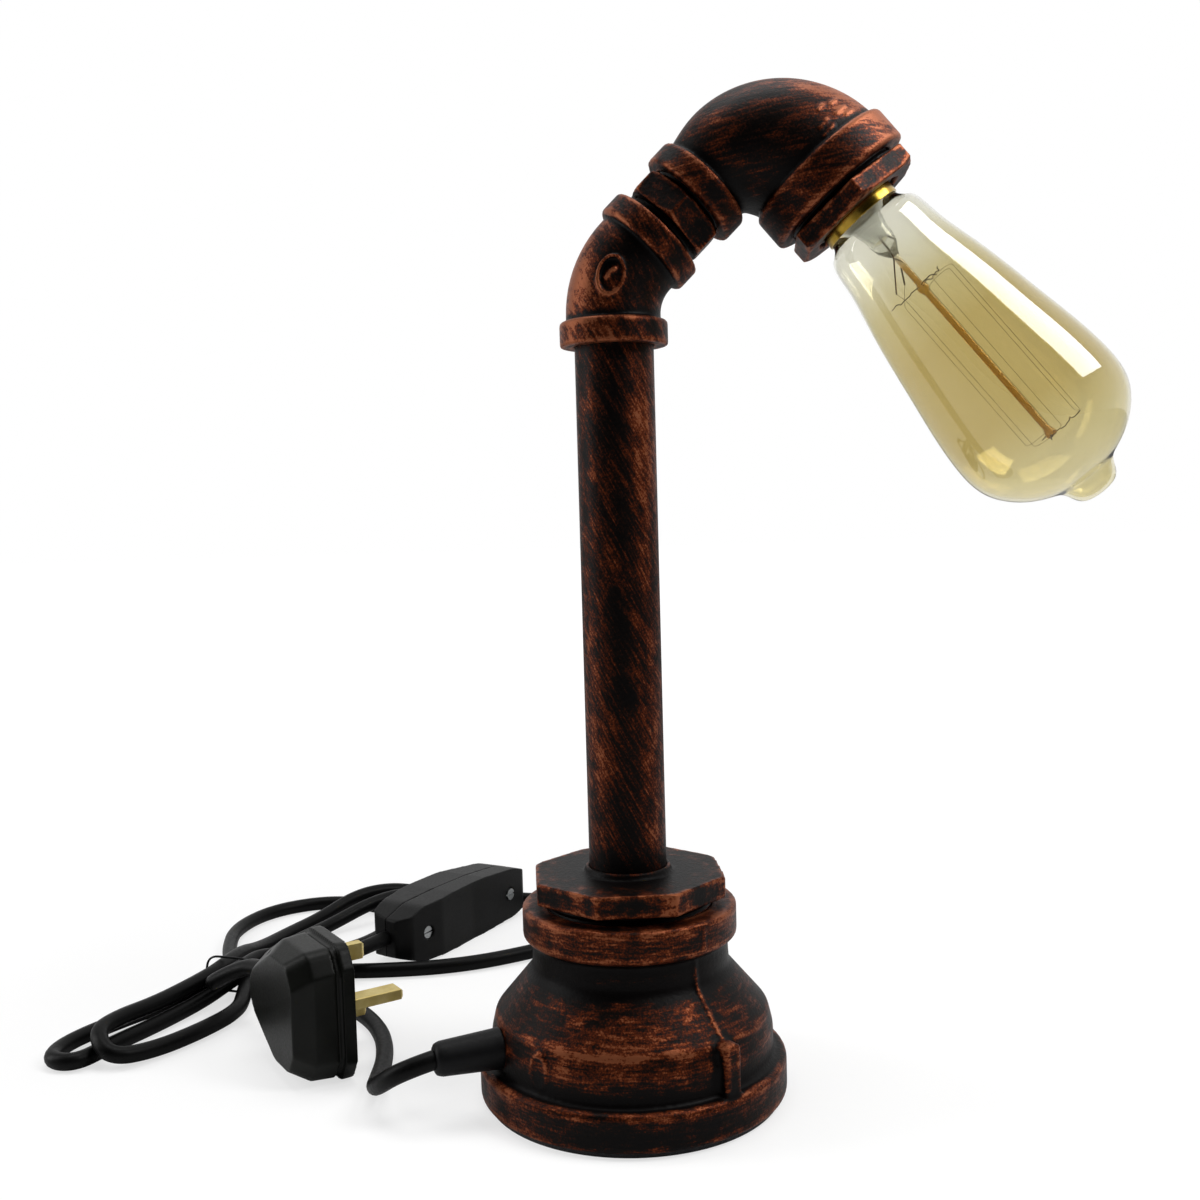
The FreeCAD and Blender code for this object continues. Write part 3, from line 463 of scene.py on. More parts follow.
def turned(profile, steps):
    """Skin turned about Z through (radius, height) points, outer wall upwards."""
    skin = bmesh.new()
    rings = []
    for radius, height in profile:
        spokes = [(math.cos(t), math.sin(t)) for t in round_turn(steps)] if radius > 1e-6 else [(0, 0)]
        rings.append([skin.verts.new((radius * x, radius * y, height)) for x, y in spokes])
    for low, high in zip(rings, rings[1:] + rings[:1]):
        if len(low) == len(high) > 1:
            joined(skin, low, high)
        elif len(high) > 1:
            for k in range(steps):
                skin.faces.new((low[0], high[(k + 1) % steps], high[k]))
        elif len(low) > 1:
            for k in range(steps):
                skin.faces.new((low[k], low[(k + 1) % steps], high[0]))
    return skin


def eased(profile, radius):
    """Profile with each corner cut back by a radius and rounded."""
    points = [Vector(p) for p in profile]
    out = []
    for i, corner in enumerate(points):
        before, after = points[i - 1], points[(i + 1) % len(points)]
        if corner.x < 1e-6:
            out.append(tuple(corner))
            continue
        start = corner + (before - corner).normalized() * min(radius, (before - corner).length * 0.45)
        end = corner + (after - corner).normalized() * min(radius, (after - corner).length * 0.45)
        for t in (0, 0.25, 0.5, 0.75, 1):
            out.append(tuple(start * (1 - t) ** 2 + corner * 2 * t * (1 - t) + end * t**2))
    return out


TO_METRES = Matrix.Scale(MM, 4)

felt_profile = [(51.3, 0.0), (51.3, 1.5), (30, 1.5), (0, 1.5), (0, 0.0), (30, 0.0)]
felt = shaped("felt_pad_disc", turned(felt_profile, 96), TO_METRES)


def wool_felt():
    """Matted wool: dull, with fibres that lie every way, drawn a little coarse so that they show."""
    material, tree, shader, place = new_material("green_black_wool_felt")
    fibre = add(
        tree, "ShaderNodeTexNoise",
        {"Vector": place, "Scale": 1 / (0.5 * MM), "Detail": 5.0, "Distortion": 1.5},
    )
    colour = add(tree, "ShaderNodeValToRGB", {"Fac": fibre}, stops=((0.3, "#0c0c0d"), (0.7, "#26272a")))
    bump = add(tree, "ShaderNodeBump", {"Height": fibre, "Strength": 0.8, "Distance": 0.3 * MM})
    feed(shader, {"Base Color": colour, "Roughness": 0.95, "Sheen Weight": 0.3, "Normal": bump})
    return material


finished(felt, wool_felt(), "felt_pad")

# ------------------------------
# Stem. Welded steel pipe, its ends in the bushing and the elbow, brushed with
# copper in long slanting strokes over the black.

PIPE_R, PIPE_BORE_R, PIPE_LOW, PIPE_HIGH, PIPE_EASE = 13.4, 10.9, 62.0, 271.0, 0.6
FIRST_ROW, ROW_STEP, ROWS = 62.4, 1.6, 131
pipe_profile = [(PIPE_R - PIPE_EASE, PIPE_LOW)]
pipe_profile += [(PIPE_R, FIRST_ROW + ROW_STEP * k) for k in range(ROWS)]
pipe_profile += [(PIPE_R - PIPE_EASE, PIPE_HIGH), (PIPE_BORE_R, PIPE_HIGH), (PIPE_BORE_R, PIPE_LOW)]
stem = shaped("stem_tube", turned(pipe_profile, 112), TO_METRES)
painted(
    stem,
    bias=-0.5,
    strokes_and_painted_light=(
        ((-10, -9, 130), (6, 12, 50), 0.4),
        ((9, -9, 222), (5, 12, 30), 0.75),
        # A dark stripe down the front of the pipe: partly less copper, partly a painted dark reflection
        # between the copper sides.
        ((1, -14, 170), (4.5, 8, 110), -0.5),
        ((10, -9, 125), (7, 12, 44), 0.45),
        ((-4, 14, 170), (14, 8, 80), 0.4),
        ((0, 0, 81), (20, 20, 4), -1.0),
        ((0, 0, 258), (20, 20, 4), -0.3),
    ),
)
dry_brushed(
    stem, "stem_pipe", "steel_tube", slot="aged_copper_pipe", turn=(0, -62, 0), stretch=(14, 3), width=0.7
)

# ------------------------------
# Elbow. A 45 degree malleable iron elbow with a beaded band at each mouth and a
# plain raised oval where a foundry would put its mark. It turns on the stem.

ELBOW_AT = Vector((0, 0, 279.2))
ELBOW_R = 16.0
ARM_TURN = math.radians(4)
UP = Vector((0, 0, 1))
arm_out = Vector((math.cos(ARM_TURN), math.sin(ARM_TURN), 0))
arm_axis = (arm_out + UP).normalized()
head_side = UP.cross(arm_out)


def laid(origin, x_axis, z_axis):
    """Matrix from a local frame in millimetres to the lamp's in metres."""
    y_axis = z_axis.cross(x_axis)
    turn = Matrix((x_axis, y_axis, z_axis)).transposed().to_4x4()
    return TO_METRES @ Matrix.Translation(origin) @ turn


def into(frame_matrix):
    """Function that takes points of the lamp in millimetres to a local frame."""
    back = np.array(frame_matrix.inverted())
    return lambda place: place * MM @ back[:3, :3].T + back[:3, 3]


def on_elbow(across, height):
    """Point on the front of the elbow's bend."""
    return (across, -math.sqrt(ELBOW_R**2 - across**2) - 0.15, ELBOW_AT.z + height)


elbow_marks = [
    bead(oval((-0.5, -0.5), 4.3, 6.2, math.radians(14), on_elbow), (0, 1, 0), radius=0.62, closed=True),
    bead([on_elbow(x, z) for x, z in ((-2.0, -1.5), (-0.6, 0.6), (1.2, 1.6))], (0, 1, 0), radius=0.6),
]
elbow = casting("elbow_45_casting", "elbow_45", voxel=0.5, passes=3, extras=elbow_marks)
painted(
    elbow,
    bias=0.0,
    strokes_and_painted_light=(
        ((-12, -6, 279), (8, 14, 20), 1.2),
        ((-0.5, -16, 278.7), (3.6, 5, 5.4), 0.7),
        ((12, -11, 283), (9, 12, 12), -0.7),
        ((7, -12, 290), (8, 10, 6), -0.35),
        ((-8, -8, 261), (12, 20, 4), 0.6),
        ((8, -8, 261), (9, 20, 4), -0.15),
        ((-2, -12, 297), (14, 16, 5), 0.5),
    ),
)
dry_brushed(elbow, "elbow_45", "elbow", turn=(0, -60, 0), stretch=(9, 5), width=1.2)

# ------------------------------
# Hexagon nipple. Malleable iron, cast and threaded at both ends. It joins the
# two elbows and shows a turn or so of black thread on each side of its hexagon.

FINE_PITCH = 1.814
ARM = laid(ELBOW_AT, head_side, arm_axis)


def painted_between(piece, to_local, low, high, bias):
    """Brushes copper between two heights of a local frame; the threads past them stay black."""
    painted(piece, 0.0, ())
    along = to_local(places(piece.data)[0])[:, 2]
    shade = np.where((along > low) & (along < high), bias, -2.0)
    piece.data.attributes["copper"].data.foreach_set("value", shade.astype(np.float32))


nipple = casting("hexagon_nipple", "hex_nipple", voxel=0.45, passes=2)
for low, high in ((18.0, 24.9), (35.1, 40.0)):
    screw_cut(nipple, into(ARM), radius=13.45, pitch=FINE_PITCH, depth=0.8, low=low, high=high)
# The threads beside the hexagon get no copper: bare enamel, and partly a painted shade in the gaps where
# they enter the elbows.
painted_between(nipple, into(ARM), 25.2, 34.8, -0.35)
dry_brushed(nipple, "hex_nipple", "nipple", turn=(0, -45, 0), stretch=(5, 4), width=1.5)

# ------------------------------
# Head. A large reducing elbow, cast like the small one, turns on the nipple and
# carries a hexagon bushing in its mouth, which droops a little past square.

HEAD_AT, HEAD_TURN, HEAD_DROOP = 77.2, math.radians(-7), math.radians(6)
HEAD_BEND, HEAD_R, HEAD_SMALL_R, HEAD_SWELL = 26.0, 24.2, 16.8, 2.5
head_square = (arm_out - UP).normalized() * math.cos(HEAD_TURN) + head_side * math.sin(HEAD_TURN)
head_axis = head_square * math.cos(HEAD_DROOP) - arm_axis * math.sin(HEAD_DROOP)
head_out = head_square * math.sin(HEAD_DROOP) + arm_axis * math.cos(HEAD_DROOP)
HEAD = laid(ELBOW_AT + arm_axis * HEAD_AT, head_out, head_axis)


def on_bend(angle, round_it):
    """Point on the big elbow, at an angle from its mouth along the bend and an angle round it."""
    turn = math.pi / 2 + HEAD_DROOP
    share = math.radians(angle) / turn
    out = Vector((math.cos(share * turn), 0, -math.sin(share * turn)))
    radius = HEAD_R + (HEAD_SMALL_R - HEAD_R) * share**HEAD_SWELL
    middle = Vector((-HEAD_BEND, 0, HEAD_BEND * math.tan(turn / 2))) + out * HEAD_BEND
    side = math.radians(round_it)
    place = middle + out * radius * math.cos(side) + Vector((0, 1, 0)) * radius * math.sin(side)
    return HEAD @ place / MM


def on_head(x, y, z):
    """Point of the head's own frame, in millimetres of the lamp's."""
    return HEAD @ Vector((x, y, z)) / MM


MARK_BARS = ((11, 50, 61), (15, 52, 66), (20, 50, 60), (13, 76, 88), (18, 74, 84), (24, 62, 70))
head_marks = []
for angle, low, high in MARK_BARS:
    bar = [on_bend(angle + 0.25 * k, low + (high - low) * k / 4) for k in range(5)]
    head_marks.append(bead(bar, bar[2] - on_bend(angle + 0.5, (low + high) / 2 + 180), radius=0.55))
head = casting("reducing_elbow_casting", "reducing_elbow", voxel=0.6, passes=3, extras=head_marks)
painted(
    head,
    bias=-0.3,
    strokes_and_painted_light=(
        ((52, -16, 356), (16, 14, 7), 0.55),
        # This stroke fills the upper right of the bend with full copper as a painted sheen.
        (on_bend(20, 30), (17, 18, 17), 1.4),
        (on_bend(45, 95), (16, 10, 14), -0.45),
        (on_bend(86, 60), (9, 14, 9), 0.35),
        # The band round the mouth: the last stroke is a painted highlight along its top, and the weaker
        # strokes lower down leave a painted shade there.
        (on_head(14, 20, 29), (18, 16, 16), 0.3),
        (on_head(-14, 18, 29), (12, 16, 12), 0.2),
        (on_head(24, 8, 29), (10, 14, 10), 0.95),
    ),
)
dry_brushed(head, "reducing_elbow", "reducing_elbow", turn=(0, 8, 0), stretch=(13, 6), width=1.2)

mouth = casting("head_hexagon_bushing", "head_bushing", voxel=0.5, passes=2)
screw_cut(mouth, into(HEAD), radius=20.55, pitch=COARSE_PITCH, depth=0.9, low=34.0, high=38.0)
painted_between(mouth, into(HEAD), 38.3, math.inf, -0.05)
dry_brushed(mouth, "head_bushing", "head_bushing", turn=(0, 45, 0), stretch=(6, 3), width=1.4)

# ------------------------------
# Lampholder. A phenolic sleeve lines the bushing round a rolled brass shell, on
# a porcelain insert with a spring contact and two terminal screws.


DRIFT_GRAINS = 12


def plain_finish(name, code, dark, grain, roughness, metallic=0.0, bump_depth=0.05, specular=0.5):
    """Material whose tone and gloss drift a little over a fine grain, its size in millimetres.

    The real grain is finer than a pixel and is drawn as coarse as it needs to show."""
    material, tree, shader, place = new_material(name)
    drift = add(
        tree, "ShaderNodeTexNoise",
        {"Vector": place, "Scale": 1 / (DRIFT_GRAINS * grain * MM), "Detail": 3.0},
    )
    fine = add(
        tree, "ShaderNodeTexNoise",
        {"Vector": place, "Scale": 1 / (grain * MM), "Detail": 3.0, "Roughness": 0.6},
    )
    colour = add(tree, "ShaderNodeValToRGB", {"Fac": drift}, stops=((0.3, dark), (0.7, code)))
    low, high = roughness
    spread = {"Value": fine, "From Min": 0.3, "From Max": 0.7, "To Min": low, "To Max": high}
    gloss = add(tree, "ShaderNodeMapRange", spread)
    bump = add(tree, "ShaderNodeBump", {"Height": fine, "Strength": 0.4, "Distance": bump_depth * MM})
    feed(shader, {"Base Color": colour, "Roughness": gloss, "Normal": bump})
    feed(shader, {"Metallic": metallic, "Specular IOR Level": specular})
    return material


def hidden_finish(material, *nodes):
    """Gives CAD solids that are right as they are a finish."""
    for node in nodes:
        covered(frame["nodes"][node], material)


# Moulded phenolic is dark brown with a dull sheen, and unglazed porcelain a chalky white. Drawn
# brass is bright and yellow. Zinc plate is pale grey and shines less.
phenolic = plain_finish("moulded_phenolic", "#15110f", "#0c0a09", grain=0.8, roughness=(0.35, 0.5))
porcelain = plain_finish(
    "unglazed_steatite_porcelain", "#d9d4c8", "#c8c1b2", grain=0.6, roughness=(0.5, 0.7)
)
brass = plain_finish(
    "drawn_brass_sheet", "#b8963f", "#8a7026", grain=0.4, roughness=(0.16, 0.26), metallic=1.0,
    bump_depth=0.02,
)
zinc = plain_finish(
    "zinc_plated_steel", "#a9abab", "#8d9192", grain=0.5, roughness=(0.28, 0.42), metallic=1.0,
    bump_depth=0.02,
)
hidden_finish(porcelain, "holder_insert")
hidden_finish(brass, "holder_contact")

SHELL_LOW, SHELL_HIGH = 25.2, 39.9
ROUND_PITCH, ROLL_ROW, ROLL_FADE, ROLL_STEPS = 3.62, 0.3, 1.5, 84


def rolled_thread(low, high, outer, inner, depth):
    """Thin brass tube between two heights, both walls rolled into a round thread."""
    rows = int((high - low) / ROLL_ROW)
    skin = bmesh.new()
    heights = [low + (high - low) * k / rows for k in range(rows + 1)]
    rings = []
    for wall, z in [(outer, z) for z in heights] + [(inner, z) for z in reversed(heights)]:
        fade = min(1.0, (z - low) / ROLL_FADE, (high - z) / ROLL_FADE)
        ring = []
        for t in round_turn(ROLL_STEPS):
            swell = -depth * fade * (0.5 + 0.5 * math.cos(2 * math.pi * z / ROUND_PITCH - t))
            ring.append(skin.verts.new(((wall + swell) * math.cos(t), (wall + swell) * math.sin(t), z)))
        rings.append(ring)
    for low_ring, high_ring in zip(rings, rings[1:] + rings[:1]):
        joined(skin, low_ring, high_ring)
    return skin


shell = shaped("rolled_holder_shell", rolled_thread(SHELL_LOW, SHELL_HIGH, 14.55, 14.15, 0.55), HEAD)
finished(shell, brass, "holder_shell")

sleeve_profile = eased([(15.1, 20.0), (16.4, 20.0), (16.4, 43.5), (15.1, 43.5)], 0.35)
sleeve = shaped("phenolic_sleeve", turned(sleeve_profile, 96), HEAD)
finished(sleeve, phenolic, "holder_sleeve")

# Slotted screws, turned from steel rod and zinc plated, all made by one tree.


def new_tree(name, sockets):
    """Geometry tree with named inputs, their identifiers, and what its input node gives."""
    tree = bpy.data.node_groups.new(name, "GeometryNodeTree")
    tree.interface.new_socket("Geometry", in_out="INPUT", socket_type="NodeSocketGeometry")
    identifiers = {}
    for label, (kind, value) in sockets.items():
        made = tree.interface.new_socket(label, in_out="INPUT", socket_type="NodeSocket" + kind)
        made.default_value = value
        identifiers[label] = made.identifier
    tree.interface.new_socket("Geometry", in_out="OUTPUT", socket_type="NodeSocketGeometry")
    return tree, identifiers, add(tree, "NodeGroupInput").outputs


def grown(name, tree, values, points):
    """Runs a tree on loose points in millimetres and returns the plain mesh that it makes."""
    mesh = bpy.data.meshes.new(name)
    mesh.from_pydata(points, [], [])
    piece = in_scene(name, mesh)
    modifier = piece.modifiers.new("made", "NODES")
    modifier.node_group = tree
    for identifier, value in values.items():
        modifier[identifier] = value
    applied(piece)
    return piece


HEAD_SIDES, SHANK_SIDES, SLOT_REACH, SLOT_LIFT = 40, 24, 2.4, 0.55


def screw_tree():
    """Slotted cheese head at each point: a disc less its slot, on a plain shank."""
    sockets = {
        "Head Radius": ("Float", 2.9),
        "Head Height": ("Float", 2.0),
        "Slot Width": ("Float", 0.8),
        "Shank Radius": ("Float", 1.4),
        "Shank Length": ("Float", 6.0),
        "Finish": ("Material", None),
    }
    tree, identifiers, given = new_tree("slotted_screws", sockets)
    radius, height, shank_length = given["Head Radius"], given["Head Height"], given["Shank Length"]
    head_disc = add(
        tree, "GeometryNodeMeshCylinder", {"Vertices": HEAD_SIDES, "Radius": radius, "Depth": height}
    )
    across = add(tree, "ShaderNodeMath", {0: radius, 1: SLOT_REACH}, operation="MULTIPLY")
    size = add(tree, "ShaderNodeCombineXYZ", {0: across, 1: given["Slot Width"], 2: height})
    slot_box = add(tree, "GeometryNodeMeshCube", {"Size": size})
    lift = add(tree, "ShaderNodeMath", {0: height, 1: SLOT_LIFT}, operation="MULTIPLY")
    raise_by = add(tree, "ShaderNodeCombineXYZ", {2: lift})
    slot_at = add(tree, "GeometryNodeTransform", {"Geometry": slot_box, "Translation": raise_by})
    head_and_slot = {"Mesh 1": head_disc, "Mesh 2": slot_at}
    slotted = add(tree, "GeometryNodeMeshBoolean", head_and_slot, operation="DIFFERENCE")
    shank_sizes = {"Vertices": SHANK_SIDES, "Radius": given["Shank Radius"], "Depth": shank_length}
    shank = add(tree, "GeometryNodeMeshCylinder", shank_sizes)
    half = add(tree, "ShaderNodeMath", {0: shank_length, 1: -0.5}, operation="MULTIPLY")
    drop = add(tree, "ShaderNodeCombineXYZ", {2: half})
    shank_at = add(tree, "GeometryNodeTransform", {"Geometry": shank, "Translation": drop})
    both = add(tree, "GeometryNodeJoinGeometry", {0: slotted})
    feed(both, {0: shank_at})
    copies = add(tree, "GeometryNodeInstanceOnPoints", {"Points": given[0], "Instance": both})
    real = add(tree, "GeometryNodeRealizeInstances", {"Geometry": copies})
    finish = add(tree, "GeometryNodeSetMaterial", {"Geometry": real, "Material": given["Finish"]})
    add(tree, "NodeGroupOutput", {0: finish})
    return tree, identifiers


slotted_screws, screw_inputs = screw_tree()


def screws(name, to_place, points, **sizes):
    """Screws at points of a local frame, heads towards its Z."""
    values = {screw_inputs[key.replace("_", " ").title()]: value for key, value in sizes.items()}
    piece = grown(name, slotted_screws, values, points)
    piece.data.transform(to_place)
    piece.data.set_sharp_from_angle(angle=CREASE)
    return piece


BACK_OF_HEAD = HEAD @ Matrix.Translation((0, 0, 13.8)) @ Matrix.Rotation(math.pi, 4, "X")
holder_pair = screws(
    "holder_terminal_screws", BACK_OF_HEAD, ((0, -9, 0), (0, 9, 0)),
    head_radius=2.9, head_height=2.3, shank_length=1.2, finish=zinc,
)
stands_for(holder_pair, "holder_screws")

# ------------------------------
# Bulb. A squirrel-cage filament bulb: drawn brass cap on black glass, a blown
# envelope with its tip sealed off, lacquered amber except near the neck.

CAP_LOW, SKIRT_LOW, CAP_HIGH = 26.0, 41.5, 48.0
cap = shaped("rolled_bulb_cap", rolled_thread(CAP_LOW, SKIRT_LOW, 13.1, 12.7, 0.7), HEAD)
skirt_profile = [
    (12.6, 41.2), (13.2, 41.2), (13.95, 42.4), (13.95, CAP_HIGH), (13.3, CAP_HIGH), (13.3, 42.7)
]
skirt = shaped("bulb_cap_skirt", turned(eased(skirt_profile, 0.3), 112), HEAD)
finished(cap, brass, "bulb_cap")
covered(skirt, brass)
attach(skirt, frame["nodes"]["bulb_cap"]["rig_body"])


def path_curve(name, routes, order, steps):
    """NURBS splines that have each route's points as their control points."""
    curve = bpy.data.curves.new(name, "CURVE")
    curve.dimensions = "3D"
    for route in routes:
        spline = curve.splines.new("NURBS")
        spline.points.add(len(route) - 1)
        for point, place in zip(spline.points, route):
            point.co = (*place, 1)
        spline.order_u = order
        spline.use_endpoint_u = True
        spline.resolution_u = steps
    return curve


def mesh_of(curve):
    """The mesh that a curve gives."""
    carrier = bpy.data.objects.new(curve.name, curve)
    mesh = bpy.data.meshes.new_from_object(carrier)
    bpy.data.objects.remove(carrier)
    return mesh


GLASS_LOW, GLASS_LENGTH, PIP_HIGH, GLASS_WALL, NECK_R = 44.0, 117.0, 168.1, 0.8, 13.1
GLASS_LINE = (
    (NECK_R, 47.6), (13.6, 50.4), (18.4, 50.9), (18.3, 63.0), (23.0, 80.0), (26.7, 104.0),
    (29.6, 120.0), (31.1, 136.5), (29.1, 146.7), (20.8, 155.7), (12.8, 159.3), (10.0, 160.6),
    (8.7, 163.6), (7.4, 166.6), (4.4, 168.1),
)


def glass_line(inset):
    """Wall of the envelope, its tip drawn out and sealed where the air was pumped from it."""
    poles = [(r - inset, 0, z - inset * (z / PIP_HIGH) ** 4) for r, z in GLASS_LINE]
    line = mesh_of(path_curve("glass_line", [poles + [(0, 0, PIP_HIGH - inset)]], 4, 8))
    return [(NECK_R - inset, GLASS_LOW)] + [(max(v.co.x, 0), v.co.z) for v in line.vertices]


glass = shaped("blown_envelope", turned(glass_line(0) + glass_line(GLASS_WALL)[::-1], 144), HEAD)


def lacquered_glass():
    """Soda glass, clear at the neck and turning to amber lacquer down the body."""
    material, tree, shader, place = new_material("amber_lacquered_soda_glass")
    down = add(tree, "ShaderNodeAttribute", attribute_name="down").outputs["Fac"]
    cloud = add(tree, "ShaderNodeTexNoise", {"Vector": place, "Scale": 1 / (22 * MM), "Detail": 2.0})
    drift = add(tree, "ShaderNodeMath", {0: cloud, 1: 0.12, 2: down}, operation="MULTIPLY_ADD")
    clear_to_amber = (
        (0.06, "#efefea"), (0.2, "#e9e7da"), (0.36, "#dcd4b2"),
        (0.5, "#d6ca9f"), (0.8, "#d6ca9f"), (0.95, "#dfd8b8"),
    )
    colour = add(tree, "ShaderNodeValToRGB", {"Fac": drift}, stops=clear_to_amber)
    feed(shader, {"Base Color": colour, "Transmission Weight": 1.0, "Roughness": 0.02, "IOR": 1.47})
    return material


def down_the_bulb(piece):
    """Stores how far down the bulb each point lies, from neck to tip."""
    along = into(HEAD)(places(piece.data)[0])[:, 2]
    values = ((along - GLASS_LOW) / GLASS_LENGTH).astype(np.float32)
    piece.data.attributes.new("down", "FLOAT", "POINT").data.foreach_set("value", values)


down_the_bulb(glass)
finished(glass, lacquered_glass(), "bulb_glass")

# Stem glass: flare and press of lead glass with a solid rod on which the cage hangs.

STEM_TUBE_END, PRESS_END, ROD_R, ROD_END = 57.0, 64.0, 1.15, 144.0
CAGE_LOW, CAGE_HIGH, CAGE_R = 78.0, 142.5, 12.4
flare = [(12.1, 45.1), (12.1, 45.6), (8.4, 47.4), (6.0, 50.0), (4.6, 54.0), (4.5, STEM_TUBE_END)]
press = [(3.9, 60.0), (2.3, 62.6), (ROD_R, PRESS_END), (ROD_R, 76.2)]
press += [(1.9, 77.2), (2.0, 78.6), (1.5, 79.6), (ROD_R, 80.6)]
tip = [(ROD_R, 140.2), (1.6, 141.4), (2.0, 142.8), (1.7, 143.7), (0.8, ROD_END), (0, ROD_END)]
hollow = [(0, 58.2), (2.6, 56.8), (3.3, 54.2), (4.9, 50.0), (7.5, 47.2), (11.0, 45.1)]
stem_glass = shaped("flare_press_and_rod", turned(flare + press + tip + hollow, 48), HEAD)


def stem_glass_finish():
    """Lead glass: clear at the flare, the rod below it honey coloured."""
    material, tree, shader, _ = new_material("honey_lead_glass")
    down = add(tree, "ShaderNodeAttribute", attribute_name="down").outputs["Fac"]
    clear_to_honey = ((0.0, "#f4f6f6"), (0.16, "#eceee9"), (0.22, "#cda23c"), (1.0, "#bf8d22"))
    colour = add(tree, "ShaderNodeValToRGB", {"Fac": down}, stops=clear_to_honey)
    feed(shader, {"Base Color": colour, "Transmission Weight": 0.8, "Roughness": 0.08, "IOR": 1.55})
    return material


down_the_bulb(stem_glass)
finished(stem_glass, stem_glass_finish(), "bulb_stem")

# Leads, hooks and filament: nickel wire and a carbonised thread run up and down six times.

CAGE_STRANDS, CAGE_TURN, HOOK_PAST = 6, 217.3, 0.8
# Nickel wire looks brownish through the amber; the thread of carbon is a matt straw colour.
nickel = plain_finish(
    "drawn_nickel_wire", "#6b5a45", "#4a3a2a", grain=0.4, roughness=(0.3, 0.45), metallic=0.9,
    bump_depth=0.01,
)
carbon = plain_finish(
    "carbonised_filament", "#8f784c", "#6e5a34", grain=0.4, roughness=(0.5, 0.7), metallic=0.2,
    bump_depth=0.01,
)


def cage_point(step, z, radius=CAGE_R):
    angle = math.radians(CAGE_TURN + 360 * (step + 0.5) / (CAGE_STRANDS + 1))
    return Vector((radius * math.cos(angle), radius * math.sin(angle), z))


def rounded(curve, radius, facets):
    curve.bevel_depth = radius
    curve.bevel_resolution = facets
    curve.use_fill_caps = True


def wire(name, runs, radius, to_place, finish):
    """Round wires through their points, one mesh."""
    curve = path_curve(name, runs, 3, 6)
    rounded(curve, radius, 1)
    mesh = mesh_of(curve)
    mesh.transform(to_place)
    mesh.shade_smooth()
    piece = in_scene(name, mesh)
    covered(piece, finish)
    return piece


CLAMPS = (Vector((-2.1, -6.0, 73.1)), Vector((-9.9, 6.0, 74.4)))
lead_runs = []
for clamp, root in zip(CLAMPS, (Vector((3.0, -1.5, 61.4)), Vector((-0.8, 1.5, 62.6)))):
    inner_end = Vector((0.5 * root.x, root.y, 55.5))
    bend = root + Vector((-0.6, 0.5 * root.y, 1.6))
    inside = [inner_end, inner_end.lerp(root, 0.6) + UP * 0.5, root]
    lead_runs.append(inside + [bend, bend.lerp(clamp, 0.2), bend.lerp(clamp, 0.9), clamp])
leads = wire("lead_wires", lead_runs, radius=0.3, to_place=HEAD, finish=nickel)

strand_points = [CLAMPS[0]]
for step in range(CAGE_STRANDS):
    low, high = cage_point(step, CAGE_LOW), cage_point(step, CAGE_HIGH)
    between = [low.lerp(high, t) for t in (0, 0.04, 0.3, 0.7, 0.96, 1)]
    strand_points += between if step % 2 == 0 else between[::-1]
strand_points.append(CLAMPS[1])
filament = wire("zigzag_filament", [strand_points], radius=0.07, to_place=HEAD, finish=carbon)
stands_for(filament, "bulb_filament")


def hook_tree():
    """Wire hooks that stand out from a rod all round, each a little bent."""
    sockets = {
        "Reach": ("Float", 11.0),
        "Wire Radius": ("Float", 0.18),
        "Waviness": ("Float", 1.1),
        "Seed": ("Int", 5),
        "Finish": ("Material", None),
    }
    tree, identifiers, given = new_tree("support_hooks", sockets)
    end = add(tree, "ShaderNodeCombineXYZ", {0: given["Reach"]})
    line = add(tree, "GeometryNodeCurvePrimitiveLine", {"End": end})
    fine = add(tree, "GeometryNodeResampleCurve", {"Curve": line, "Count": 16})
    spot = add(tree, "GeometryNodeInputPosition")
    flat = add(tree, "ShaderNodeSeparateXYZ", {0: spot}).outputs
    angle = add(tree, "ShaderNodeMath", {0: flat[1], 1: flat[0]}, operation="ARCTAN2")
    turn = add(tree, "ShaderNodeCombineXYZ", {2: angle})
    round_rod = {"Points": given[0], "Instance": fine, "Rotation": turn}
    copies = add(tree, "GeometryNodeInstanceOnPoints", round_rod)
    real = add(tree, "GeometryNodeRealizeInstances", {"Geometry": copies})
    drift = {"Vector": spot, "W": given["Seed"], "Scale": 0.35, "Detail": 1.0}
    noise = add(tree, "ShaderNodeTexNoise", drift, noise_dimensions="4D").outputs["Color"]
    shift = add(tree, "ShaderNodeVectorMath", {0: noise, 1: (0.5, 0.5, 0.5)}, operation="SUBTRACT")
    swing = add(tree, "ShaderNodeMath", {0: given["Waviness"], 1: 4.0}, operation="MULTIPLY")
    much = add(tree, "ShaderNodeVectorMath", {0: shift, "Scale": swing}, operation="SCALE")
    bent = add(tree, "GeometryNodeSetPosition", {"Geometry": real, "Offset": much})
    hexagon = {"Resolution": 6, "Radius": given["Wire Radius"]}
    section = add(tree, "GeometryNodeCurvePrimitiveCircle", hexagon)
    swept = {"Curve": bent, "Profile Curve": section, "Fill Caps": True}
    solid = add(tree, "GeometryNodeCurveToMesh", swept)
    finish = add(tree, "GeometryNodeSetMaterial", {"Geometry": solid, "Material": given["Finish"]})
    add(tree, "NodeGroupOutput", {0: finish})
    return tree, identifiers


support_hooks, hook_inputs = hook_tree()
hook_roots = []
for step in range(CAGE_STRANDS - 1):
    height = CAGE_HIGH + HOOK_PAST if step % 2 == 0 else CAGE_LOW - HOOK_PAST
    hook_roots.append(cage_point(step + 0.5, height, ROD_R))
hook_roots.append(cage_point(CAGE_STRANDS, CAGE_LOW - HOOK_PAST, ROD_R))
hook_values = {hook_inputs["Finish"]: nickel, hook_inputs["Reach"]: 10.8}
hooks = grown("support_hooks", support_hooks, hook_values, hook_roots)
hooks.data.transform(HEAD)
stands_for(hooks, "bulb_leads")
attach(leads, frame["nodes"]["bulb_leads"]["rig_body"])

